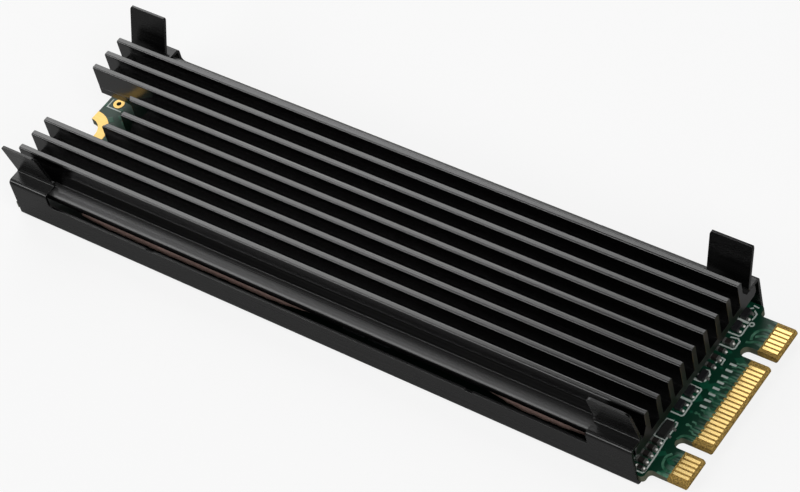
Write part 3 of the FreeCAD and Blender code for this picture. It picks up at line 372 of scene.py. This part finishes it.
# Along the two long edges under the heat sink the mask is painted nearly black: painted shade.
where = add(tree, "SeparateXYZ", {}, {"Vector": place})
aside = add(tree, "Math", {"operation": "ABSOLUTE"}, {0: where.outputs["Y"]})
painted_edge_shade = add(tree, "MapRange", {"clamp": True}, {
    "Value": aside.outputs["Value"], "From Min": EDGE_SHADE_START * MM,
    "From Max": EDGE_SHADE_FULL * MM})
covered = add(tree, "Math", {"operation": "LESS_THAN"}, {
    0: where.outputs["X"], 1: SINK_END * MM})
painted_edge_shade = add(tree, "Math", {"operation": "MULTIPLY"},
                {0: painted_edge_shade.outputs["Result"], 1: covered.outputs["Value"]})
mask_tone = add(tree, "Mix", {"data_type": "RGBA"},
                {0: painted_edge_shade.outputs["Value"], 6: mask_tone.outputs[2],
                 7: linear("#07150f")})
# Tracks from the contacts show as pale stripes 0.3 mm apart, that fade out away from the edge.
stripe_place = add(tree, "Mapping", {}, {"Vector": place, "Scale": (
    per_metre(2.4), per_metre(0.3), per_metre(0.3))})
stripes = add(tree, "TexNoise", {}, {"Vector": stripe_place.outputs["Vector"], "Scale": 1.0,
                                     "Detail": 1.0})
stripes = add(tree, "MapRange", {"clamp": True}, {"Value": stripes.outputs["Fac"],
                                                  "From Min": 0.45, "From Max": 0.62})
near_edge = add(tree, "MapRange", {"clamp": True}, {
    "Value": where.outputs["X"], "From Min": HAZE_START * MM, "From Max": MASK_END * MM,
    "To Min": 0.0, "To Max": 0.4})
haze = add(tree, "Math", {"operation": "MULTIPLY"},
           {0: stripes.outputs["Result"], 1: near_edge.outputs["Result"]})
mask_tone = add(tree, "Mix", {"data_type": "RGBA"},
                {0: haze.outputs["Value"], 6: mask_tone.outputs[2], 7: linear("#9cc4b0")})
# The bare laminate is mottled by its cut glass bundles, 0.14 mm wide.
weave_place = add(tree, "Mapping", {}, {"Vector": place, "Scale": (
    per_metre(0.14), per_metre(0.14), per_metre(0.14))})
weave = add(tree, "TexNoise", {}, {"Vector": weave_place.outputs["Vector"], "Scale": 1.0,
                                   "Detail": 2.0})
weave = add(tree, "MapRange", {"clamp": True}, {"Value": weave.outputs["Fac"],
                                                "From Min": 0.35, "From Max": 0.65})
laminate_tone = add(tree, "Mix", {"data_type": "RGBA"},
                    {0: weave.outputs["Result"], 6: linear("#735a27"), 7: linear("#d3ad5b")})
# Away from the contacts the cut edge is stained dark by the mask that ran over it.
stained = add(tree, "Math", {"operation": "LESS_THAN"}, {
    0: where.outputs["X"], 1: STAIN_END * MM})
laminate_tone = add(tree, "Mix", {"data_type": "RGBA"},
                    {0: stained.outputs["Value"], 6: laminate_tone.outputs[2],
                     7: linear("#6b6e5c")})
facing = add(tree, "SeparateXYZ", {}, {
    "Vector": add(tree, "NewGeometry", {}, {}).outputs["True Normal"]})
flat = add(tree, "Math", {"operation": "ABSOLUTE"}, {0: facing.outputs["Z"]})
flat = add(tree, "Math", {"operation": "GREATER_THAN"}, {0: flat.outputs["Value"], 1: LEVEL})
masked = add(tree, "Math", {"operation": "LESS_THAN"}, {0: where.outputs["X"], 1: MASK_END * MM})
masked = add(tree, "Math", {"operation": "MULTIPLY"},
             {0: masked.outputs["Value"], 1: flat.outputs["Value"]})
tone = add(tree, "Mix", {"data_type": "RGBA"},
           {0: masked.outputs["Value"], 6: laminate_tone.outputs[2], 7: mask_tone.outputs[2]})
tree.links.new(tone.outputs[2], shader.inputs["Base Color"])
rough = add(tree, "MapRange", {}, {"Value": masked.outputs["Value"], "To Min": 0.7,
                                   "To Max": 0.34})
tree.links.new(rough.outputs["Result"], shader.inputs["Roughness"])
relief = add(tree, "Bump", {}, {"Height": copper_share.outputs["Result"], "Strength": 0.6,
                                "Distance": 0.02 * MM})
tree.links.new(relief.outputs["Normal"], shader.inputs["Normal"])
dress("drive_board", board_finish)

# Copper tracks under the mask: raised green lines that fan in from the edge contacts, and
# round through-holes with their mask pulled tight over the copper rims.


def ribbon(path, width, low, high, looped):
    """Points and faces of a flat ribbon: a rectangle carried along a path with mitred corners.

    At each point the two side directions are averaged and lengthened by one over the cosine of
    half the turn. The four section corners lie half a width left and right, at low and high.
    """
    line = np.asarray(path, float)
    count = len(line)
    steps = np.roll(line, -1, 0) - line
    if not looped:
        steps[-1] = steps[-2]
    steps = steps / np.linalg.norm(steps, axis=1)[:, None]
    before = np.roll(steps, 1, 0)
    if not looped:
        before[0] = steps[0]
    sides = np.stack([-(steps + before)[:, 1], (steps + before)[:, 0]], 1)
    sides = sides / np.linalg.norm(sides, axis=1)[:, None]
    own = np.stack([-steps[:, 1], steps[:, 0]], 1)
    reach = width / 2 / np.clip(np.sum(sides * own, 1), 0.4, 1.0)
    left = line + sides * reach[:, None]
    right = line - sides * reach[:, None]
    levels = np.ones((count, 1))
    points = np.stack([np.hstack([left, low * levels]), np.hstack([right, low * levels]),
                       np.hstack([right, high * levels]), np.hstack([left, high * levels])], 1)
    first = np.arange(count if looped else count - 1)[:, None] * 4
    after = (first + 4) % (count * 4)
    corner = np.arange(4)[None, :]
    turned = (corner + 1) % 4
    faces = np.stack([first + corner, first + turned, after + turned, after + corner], 2)
    faces = faces.reshape(-1, 4).tolist()
    if not looped:
        last = (count - 1) * 4
        faces += [[3, 2, 1, 0], [last, last + 1, last + 2, last + 3]]
    return points.reshape(-1, 3), faces


def ribbons(runs, low, high):
    """Several ribbons as one set of points and faces. Each run is (path, width, looped)."""
    points = []
    faces = []
    total = 0
    for path, width, looped in runs:
        more, sides = ribbon(path, width, low, high, looped)
        points.append(more)
        faces += [[i + total for i in face] for face in sides]
        total += len(more)
    return np.vstack(points), faces


def domes(centres, radius, height, level, rings=4, sectors=12):
    """Low round domes at each centre: radius times cosine and height times sine of one angle.

    The angle runs from the rim to the crown, and a closing point lies at the crown and at the
    middle of the flat underside.
    """
    rise = np.linspace(0.0, math.pi / 2, rings, endpoint=False)
    turn = np.linspace(0.0, 2 * math.pi, sectors, endpoint=False)
    shell = np.stack([
        radius * np.cos(rise)[:, None] * np.cos(turn)[None, :],
        radius * np.cos(rise)[:, None] * np.sin(turn)[None, :],
        height * np.sin(rise)[:, None] * np.ones(sectors)[None, :]], 2).reshape(-1, 3)
    one = np.vstack([shell, [[0.0, 0.0, height], [0.0, 0.0, 0.0]]])
    centres = np.asarray(centres, float)
    offsets = np.hstack([centres, np.full((len(centres), 1), level)])
    points = (one[None, :, :] + offsets[:, None, :]).reshape(-1, 3)
    step = np.arange(sectors)
    onward = (step + 1) % sectors
    faces = []
    for r in range(rings - 1):
        faces += np.stack([r * sectors + step, r * sectors + onward,
                           (r + 1) * sectors + onward, (r + 1) * sectors + step], 1).tolist()
    top = (rings - 1) * sectors
    faces += np.stack([top + step, top + onward, np.full(sectors, rings * sectors)], 1).tolist()
    faces += np.stack([onward, step, np.full(sectors, rings * sectors + 1)], 1).tolist()
    size = len(one)
    return points, [[i + k * size for i in face] for k in range(len(centres)) for face in faces]


# The mask's green over them is cloudy, with the noise's middle spread over both tones.
masked_copper, tree, shader, place = new_material("solder_mask_over_copper", {
    "IOR": 1.5, "Roughness": 0.36})
cloud = add(tree, "TexNoise", {}, {"Vector": place, "Scale": per_metre(0.8), "Detail": 2.0})
cloud = add(tree, "MapRange", {"clamp": True}, {"Value": cloud.outputs["Fac"],
                                                "From Min": 0.35, "From Max": 0.65})
tone = add(tree, "Mix", {"data_type": "RGBA"},
           {0: cloud.outputs["Result"], 6: linear("#155a3e"), 7: linear("#5f957b")})
tree.links.new(tone.outputs[2], shader.inputs["Base Color"])

CONTACT_PITCH = 0.5
FIRST_CONTACT = 18.5
# Runs of contacts between the key notches, in steps of the pitch from the first contact.
CONTACT_RUNS = ((0, 6), (10, 29), (33, 38))
# Straight tracks start only at contacts this near the middle. Wide curved ones lie past it.
STRAIGHT_TRACKS = 7.0
TRACK_START = 38.25
TRACK_BEND = 37.3
TRACK_SHORTENING = 0.22
TRACK_SIDESTEP = 0.2
TRACK_TAIL = 0.35
TRACK_WIDTH = 0.17
WIDE_TRACK_WIDTH = 0.255
TRACK_RISE = 0.012
INSET = 0.01
HOLE_RIM_RADIUS = 0.17
HOLE_RIM_HEIGHT = 0.02
contact_places = [FIRST_CONTACT - step for start, end in CONTACT_RUNS
                  for step in range(start, end)]
track_runs = []
hole_centres = []
# Every fourth contact has no track, and every third track ends in a through-hole.
for order, steps_aside in enumerate(contact_places):
    y = steps_aside * CONTACT_PITCH
    bend = TRACK_BEND - TRACK_SHORTENING * (order % 3)
    lean = TRACK_SIDESTEP * (1 if y < 0 else -1)
    if order % 4 == 1 or abs(y) > STRAIGHT_TRACKS:
        continue
    track_runs.append(([(TRACK_START, y), (bend + TRACK_SIDESTEP, y), (bend, y + lean),
                        (bend - TRACK_TAIL, y + lean)], TRACK_WIDTH, False))
    if order % 3 == 2:
        hole_centres.append((bend - TRACK_TAIL, y + lean))


def rounded(corners, rounds=3):
    """A smooth path: each round puts two points on every run, at a quarter and three quarters."""
    path = np.asarray(corners, float)
    for _ in range(rounds):
        first = path[:-1] * 0.75 + path[1:] * 0.25
        second = path[:-1] * 0.25 + path[1:] * 0.75
        path = np.vstack([path[:1], np.stack([first, second], 1).reshape(-1, 2), path[-1:]])
    return path


# Wide tracks that curve round the two key notches and out along the tongues.
for corners in (((38.0, -5.1), (37.2, -5.15), (36.75, -5.3), (36.5, -5.9)),
                ((38.0, -9.3), (37.3, -9.35), (36.75, -8.9), (36.6, -8.0), (37.0, -7.5)),
                ((37.6, -7.3), (37.2, -7.9), (36.9, -8.3)),
                ((38.0, 8.7), (37.3, 8.7), (36.8, 8.3), (36.55, 7.6), (36.75, 7.0)),
                ((38.0, 8.0), (37.4, 7.9), (36.9, 7.5)),
                ((38.0, 7.1), (37.2, 7.05), (36.8, 6.7), (36.4, 6.6)),
                ((38.0, -9.9), (36.8, -9.85))):
    track_runs.append((rounded(corners), WIDE_TRACK_WIDTH, False))
points, faces = ribbons(track_runs, BOARD_TOP - INSET, BOARD_TOP + TRACK_RISE)
tracks = placed("board_tracks", points, faces, masked_copper)
points, faces = domes(hole_centres, HOLE_RIM_RADIUS, HOLE_RIM_HEIGHT, BOARD_TOP)
rims = placed("tented_hole_rims", points, faces, masked_copper)

# Gold plating: electroplated hard gold over nickel on the edge contacts, and softer immersion
# gold on the rings round the screw notch and the test hole. Plugging in leaves fine scuffs.


def gold_plate(name, deep, pale, smooth, dull):
    """A gold finish scuffed along X, with its tree, shader, coordinates and tone."""
    made, tree, shader, place = new_material(name, {"Metallic": 1.0})
    scuff_place = add(tree, "Mapping", {}, {"Vector": place, "Scale": (
        per_metre(2.0), per_metre(0.06), per_metre(0.06))})
    scuff = add(tree, "TexNoise", {}, {"Vector": scuff_place.outputs["Vector"], "Scale": 1.0,
                                       "Detail": 2.0})
    tone = add(tree, "Mix", {"data_type": "RGBA"},
               {0: scuff.outputs["Fac"], 6: linear(deep), 7: linear(pale)})
    tree.links.new(tone.outputs[2], shader.inputs["Base Color"])
    rough = add(tree, "MapRange", {}, {"Value": scuff.outputs["Fac"], "To Min": smooth,
                                       "To Max": dull})
    tree.links.new(rough.outputs["Result"], shader.inputs["Roughness"])
    relief = add(tree, "Bump", {}, {"Height": scuff.outputs["Fac"], "Strength": 0.2,
                                    "Distance": 0.001 * MM})
    tree.links.new(relief.outputs["Normal"], shader.inputs["Normal"])
    return made, tree, shader, place, tone


hard_gold, tree, shader, place, tone = gold_plate("hard_gold_plate", "#f8d27e", "#ffe3a0",
                                                  0.14, 0.22)
# Each contact is 0.36 mm wide and 0.5 mm from the next. Its colour is painted darker towards its
# long edges: a painted highlight along its middle. The lower row lies half a step aside of the
# upper.
HALF_PITCH = CONTACT_PITCH / 2
BETWEEN_ROWS = 0.8
EDGE_GOLD = 0.075
MIDDLE_GOLD = 0.14
across = add(tree, "SeparateXYZ", {}, {"Vector": place})
lower = add(tree, "Math", {"operation": "LESS_THAN"}, {
    0: across.outputs["Z"], 1: BETWEEN_ROWS * MM})
lower = add(tree, "Math", {"operation": "MULTIPLY"}, {
    0: lower.outputs["Value"], 1: HALF_PITCH * MM})
across = add(tree, "Math", {"operation": "ADD"}, {
    0: across.outputs["Y"], 1: lower.outputs["Value"]})
across = add(tree, "Math", {"operation": "PINGPONG"}, {
    0: across.outputs["Value"], 1: HALF_PITCH * MM})
inner = add(tree, "MapRange", {"clamp": True}, {
    "Value": across.outputs["Value"], "From Min": EDGE_GOLD * MM, "From Max": MIDDLE_GOLD * MM})
tone = add(tree, "Mix", {"data_type": "RGBA"},
           {0: inner.outputs["Result"], 6: linear("#bd934a"), 7: tone.outputs[2]})
tree.links.new(tone.outputs[2], shader.inputs["Base Color"])
soft_gold, *_ = gold_plate("immersion_gold_plate", "#c79d4f", "#dcc080", 0.3, 0.4)
for node, gold in (("contacts_upper", hard_gold), ("contacts_lower", hard_gold),
                   ("screw_notch_plating", soft_gold), ("test_ring", soft_gold)):
    dress(node, gold)

# Screen print: white epoxy ink outlines round the small parts, 0.15 mm wide and 0.02 mm thick,
# in the uneven white of a mesh stencil, and a plain row of bars by the middle contacts.
white_ink = two_tone("white_screen_ink", {"IOR": 1.45, "Roughness": 0.55},
                     0.12, 2.0, "#a3b6ab", "#eef3f0")[0]
INK_WIDTH = 0.15
INK_WIDE = 0.26
INK_RISE = 0.02
RING_MIDDLE = np.array((35.88, 8.64))
RING_RADIUS = 0.21
RING_SIDES = 20
BAR_COUNT = 8
BAR_PITCH = 0.77
BAR_START_X = 36.4
BAR_END_X = 37.1
BAR_WIDTH = 0.24
BAR_FIRST_Y = 3.75

# Open and closed outlines on the board's plane, each (path, width, looped).
bank_outline = [(34.18, -9.75), (34.2, -10.2), (34.84, -10.57), (35.66, -10.56), (35.8, -10.3),
                (35.78, -9.3), (35.76, -8.2), (35.68, -7.05), (35.62, -6.5)]
bank_side = [(34.18, -9.7), (34.2, -8.95)]
regulator_box = [(34.4, -6.47), (35.62, -6.47), (35.7, -4.6), (35.62, -4.32), (35.36, -4.27)]
regulator_side = [(34.4, -6.47), (34.38, -5.1), (34.5, -4.3), (35.2, -4.24)]
first_cell = [(34.3, 0.05), (35.5, 0.04), (35.62, -0.1), (35.6, -1.4), (35.5, -1.6)]
second_cell = [(34.3, -3.44), (35.5, -3.45), (35.64, -3.3), (35.62, -1.85), (35.5, -1.66)]
cell_bar = [(34.3, -1.63), (35.52, -1.63)]
diode_bracket = [(34.3, 0.76), (35.08, 0.78), (35.32, 1.02), (35.38, 1.8), (35.1, 2.12),
                 (34.78, 2.08)]
curl_mark = [(35.2, 3.22), (35.18, 3.8), (35.4, 4.02), (35.74, 3.94), (35.76, 3.24)]
third_cell = [(34.26, 5.3), (35.74, 5.32), (35.92, 5.5), (35.9, 6.4), (35.6, 6.62),
              (34.84, 6.48)]
fourth_cell = [(34.26, 6.9), (35.5, 6.92), (35.65, 7.1), (35.64, 8.4)]
shared_bar = [(34.24, 8.66), (35.54, 8.65)]
fifth_cell = [(35.62, 9.1), (35.68, 9.4), (35.68, 9.9), (35.28, 10.2)]
far_dashes = [[(34.65, 10.1), (35.05, 10.45)], [(34.9, 10.7), (35.5, 10.62)]]
screw_corner = [(-39.55, 5.0), (-39.55, 3.87), (-37.7, 3.87)]
ring_turn = np.linspace(0.0, 2 * math.pi, RING_SIDES, endpoint=False)
ring_mark = RING_MIDDLE + RING_RADIUS * np.stack([np.cos(ring_turn), np.sin(ring_turn)], 1)
ink_runs = [(path, INK_WIDTH, False) for path in (
    bank_outline, bank_side, regulator_box, regulator_side, first_cell, second_cell, curl_mark,
    third_cell, fourth_cell, fifth_cell, *far_dashes, screw_corner)]
ink_runs += [(path, INK_WIDE, False) for path in (cell_bar, diode_bracket, shared_bar)]
ink_runs.append((ring_mark, INK_WIDTH, True))
for order in range(BAR_COUNT):
    bar_y = BAR_FIRST_Y - BAR_PITCH * order
    ink_runs.append(([(BAR_START_X, bar_y), (BAR_END_X, bar_y)], BAR_WIDTH, False))
points, faces = ribbons(ink_runs, BOARD_TOP - INSET, BOARD_TOP + INK_RISE)
print_marks = placed("board_print", points, faces, white_ink)

# Packages: black epoxy moulded over the chips, with the fine matt grain of a spark-eroded tool.
# The diode and the transistors are moulded the same way.
epoxy, tree, shader, place, grain = two_tone("moulded_black_epoxy", {"IOR": 1.55},
                                             0.08, 2.0, "#141416", "#26262a")
rough = add(tree, "MapRange", {}, {"Value": grain, "To Min": 0.42, "To Max": 0.6})
tree.links.new(rough.outputs["Result"], shader.inputs["Roughness"])
relief = add(tree, "Bump", {}, {"Height": grain, "Strength": 0.5, "Distance": 0.006 * MM})
tree.links.new(relief.outputs["Normal"], shader.inputs["Normal"])
for node in ("memory_package_outer", "memory_package_inner", "cache_memory", "controller",
             "power_converter", "small_diode", "small_transistors"):
    dress(node, epoxy)

# Small parts: capacitors are fired barium titanate, brownish, resistors are dark with a glassy
# coat, inductors are pressed grey ferrite, and the regulator is moulded compound. The crystal
# is shut in a metal can.
for nodes, name, dark, light, metallic, roughness in (
        (("capacitor_bank", "row_capacitors", "buffer_capacitors"), "fired_titanate_ceramic",
         "#1b1918", "#35312e", 0.0, 0.4),
        (("row_resistors",), "glazed_resistor_ceramic", "#1c1b1b", "#383634", 0.0, 0.25),
        (("small_regulator",), "matt_moulded_compound", "#191919", "#343434", 0.0, 0.45),
        (("power_inductors",), "pressed_ferrite", "#2b2c2e", "#45474a", 0.0, 0.6),
        (("clock_crystal",), "lidded_crystal_can", "#8d8f92", "#c3c5c8", 1.0, 0.3)):
    finish = two_tone(name, {"Metallic": metallic, "Roughness": roughness},
                      0.15, 3.0, dark, light)[0]
    for node in nodes:
        dress(node, finish)

# Tin: plated ends and leads of the small parts, dull from the oven, and their reflowed joints, a
# little rippled where the solder froze in a low round fillet beside each lead, near white: a
# painted highlight.


def tin(name, dark, light, metallic, smooth, dull):
    """A tin finish with ripples 0.1 mm apart, between two roughnesses."""
    made, tree, shader, place, ripple = two_tone(name, {"Metallic": metallic},
                                                 0.1, 2.0, dark, light)
    rough = add(tree, "MapRange", {}, {"Value": ripple, "To Min": smooth, "To Max": dull})
    tree.links.new(rough.outputs["Result"], shader.inputs["Roughness"])
    relief = add(tree, "Bump", {}, {"Height": ripple, "Strength": 0.5, "Distance": 0.01 * MM})
    tree.links.new(relief.outputs["Normal"], shader.inputs["Normal"])
    return made


dulled_tin = tin("oven_dulled_tin", "#6f706d", "#a6a7a3", 0.6, 0.3, 0.45)
solder_painted_white = tin("reflowed_solder_painted_highlight", "#f2f2ea", "#fffffb", 0.2, 0.25, 0.4)
for node in ("part_terminals", "solder_joints"):
    dress(node, dulled_tin)
FILLET_RADIUS = 0.15
FILLET_HEIGHT = 0.14
# On the outer joints of the chips, then lower on the leads of the transistors and the diode.
CHIP_FILLET_LEVEL = 0.24
LEAD_FILLET_LEVEL = 0.1
chip_fillets = [(35.58, y) for y in (-7.07, -7.87, -8.67, -9.47)]
chip_fillets += [(34.84, -10.2), (35.66, -10.2), (35.62, 5.75)]
lead_fillets = [(34.5, 1.3), (35.4, -0.43), (35.4, -1.17), (35.4, -2.21), (35.4, -2.95),
                (35.4, 8.07), (35.4, 7.33), (35.4, 8.98), (35.45, 2.65), (35.45, 3.62),
                (35.45, 4.7)]
points, faces = domes(chip_fillets, FILLET_RADIUS, FILLET_HEIGHT, BOARD_TOP + CHIP_FILLET_LEVEL)
more, sides = domes(lead_fillets, FILLET_RADIUS, FILLET_HEIGHT, BOARD_TOP + LEAD_FILLET_LEVEL)
faces += [[i + len(points) for i in face] for face in sides]
points = np.vstack([points, more])
fillets = placed("solder_fillets", points, faces, solder_painted_white)
fillets.data.polygons.foreach_set("use_smooth", [True] * len(faces))

# Floor and light: a white sweep and large soft boxes, so that black metal shows soft greys.
# The sheet lies a hair below the tray, so that the two faces aren't in one plane.
FLOOR_HALF = 3.0
FLOOR_LEVEL = -0.02 * MM
WHITE_TO_CAMERA = 0.82
WHITE_TO_GLOSSY = 0.09
corners = [(x * FLOOR_HALF, y * FLOOR_HALF, FLOOR_LEVEL)
           for x, y in ((-1, -1), (1, -1), (1, 1), (-1, 1))]
mesh = bpy.data.meshes.new("floor")
mesh.from_pydata(corners, [], [(0, 1, 2, 3)])
floor = bpy.data.objects.new("floor", mesh)
bpy.context.scene.collection.objects.link(floor)
# The camera sees the sheet near white. Other rays meet a mid grey, so black metal stays dark,
# and glossy ones see a little of the white too.
paper, tree, shader, place = new_material("white_paper_sweep", {"Roughness": 0.9})
rays = add(tree, "LightPath", {}, {})
sheet_tone = add(tree, "Mix", {"data_type": "RGBA"}, {
    0: rays.outputs["Is Camera Ray"], 6: linear("#8a8a8a"), 7: linear("#f4f4f4")})
tree.links.new(sheet_tone.outputs[2], shader.inputs["Base Color"])
glow = add(tree, "Emission", {}, {"Color": linear("#ffffff"), "Strength": 1.0})
seen = add(tree, "Math", {"operation": "MULTIPLY"},
           {0: rays.outputs["Is Camera Ray"], 1: WHITE_TO_CAMERA})
mirrored = add(tree, "Math", {"operation": "MULTIPLY"},
               {0: rays.outputs["Is Glossy Ray"], 1: WHITE_TO_GLOSSY})
lit = add(tree, "Math", {"operation": "ADD"},
          {0: seen.outputs["Value"], 1: mirrored.outputs["Value"]})
both = add(tree, "MixShader", {}, {0: lit.outputs["Value"], 1: shader.outputs["BSDF"],
                                   2: glow.outputs["Emission"]})
output = [n for n in tree.nodes if n.bl_idname == "ShaderNodeOutputMaterial"][0]
tree.links.new(both.outputs["Shader"], output.inputs["Surface"])
floor.data.materials.append(paper)

# The world behind the sheet is white to the camera and gives the object very little light.
world = bpy.data.worlds.new("studio")
world.use_nodes = True
bpy.context.scene.world = world
tree = world.node_tree
tree.nodes.clear()
rays = add(tree, "LightPath", {}, {})
strength = add(tree, "MapRange", {}, {"Value": rays.outputs["Is Camera Ray"], "To Min": 0.02,
                                      "To Max": 1.0})
sky = add(tree, "Background", {}, {"Color": linear("#ffffff"),
                                   "Strength": strength.outputs["Result"]})
add(tree, "OutputWorld", {}, {"Surface": sky.outputs["Background"]})


def soft_box(name, direction, distance, width, height, radiance):
    """A rectangular lamp facing the module, with power for the radiance wanted on its face."""
    lamp = bpy.data.lights.new(name, "AREA")
    lamp.shape = "RECTANGLE"
    lamp.size = width
    lamp.size_y = height
    lamp.energy = radiance * math.pi * width * height
    made = bpy.data.objects.new(name, lamp)
    toward = Vector(direction).normalized()
    made.matrix_world = (Matrix.Translation(toward * distance)
                         @ toward.to_track_quat("Z", "Y").to_matrix().to_4x4())
    made.visible_camera = False
    bpy.context.scene.collection.objects.link(made)


# The back box shows in the fin tops, the front box low in the flange's curve, and the small
# one overhead joins them. The end box stands beside the connector, where only dull faces see it,
# and the contact box is a small card that shows in the gold. Each call gives the direction from
# the module, then distance, width and height in metres, then radiance.
soft_box("back_box", (-0.62, 0.585, 0.52), 0.45, 0.36, 0.36, 2.3)
soft_box("front_box", (-0.495, -0.705, 0.505), 0.55, 0.42, 0.17, 4.4)
soft_box("over_box", (-0.50, -0.14, 0.85), 0.50, 0.16, 0.14, 1.8)
soft_box("end_box", (0.70, -0.30, 0.65), 0.60, 0.42, 0.42, 3.4)
soft_box("contact_box", (0.057, 0.514, 0.857), 0.14, 0.06, 0.06, 1.05)

# Camera: a long lens over the near side of the connector end, 48 degrees above the table.
# Its place and its three axes come from a fit of the board's known points to the photograph.
CAMERA_LENS = 130.96
CAMERA_PLACE = Vector((138.7014, -129.0398, 214.1562))
CAMERA_RIGHT = Vector((0.80750882, 0.56134153, -0.18117723))
CAMERA_DOWN = Vector((0.335181, -0.68942542, -0.64214196))
CAMERA_AHEAD = Vector((-0.48536913, 0.45780813, -0.74486812))
camera_data = bpy.data.cameras.new("camera")
camera_data.lens = CAMERA_LENS
camera_data.sensor_width = 36.0
camera_data.clip_start = 0.01
camera_data.clip_end = 20.0
camera = bpy.data.objects.new("camera", camera_data)
turned = Matrix((CAMERA_RIGHT, -CAMERA_DOWN, -CAMERA_AHEAD)).transposed().to_4x4()
camera.matrix_world = Matrix.Translation(CAMERA_PLACE * MM) @ turned
bpy.context.scene.collection.objects.link(camera)
bpy.context.scene.camera = camera
bpy.context.scene.view_settings.view_transform = "Standard"
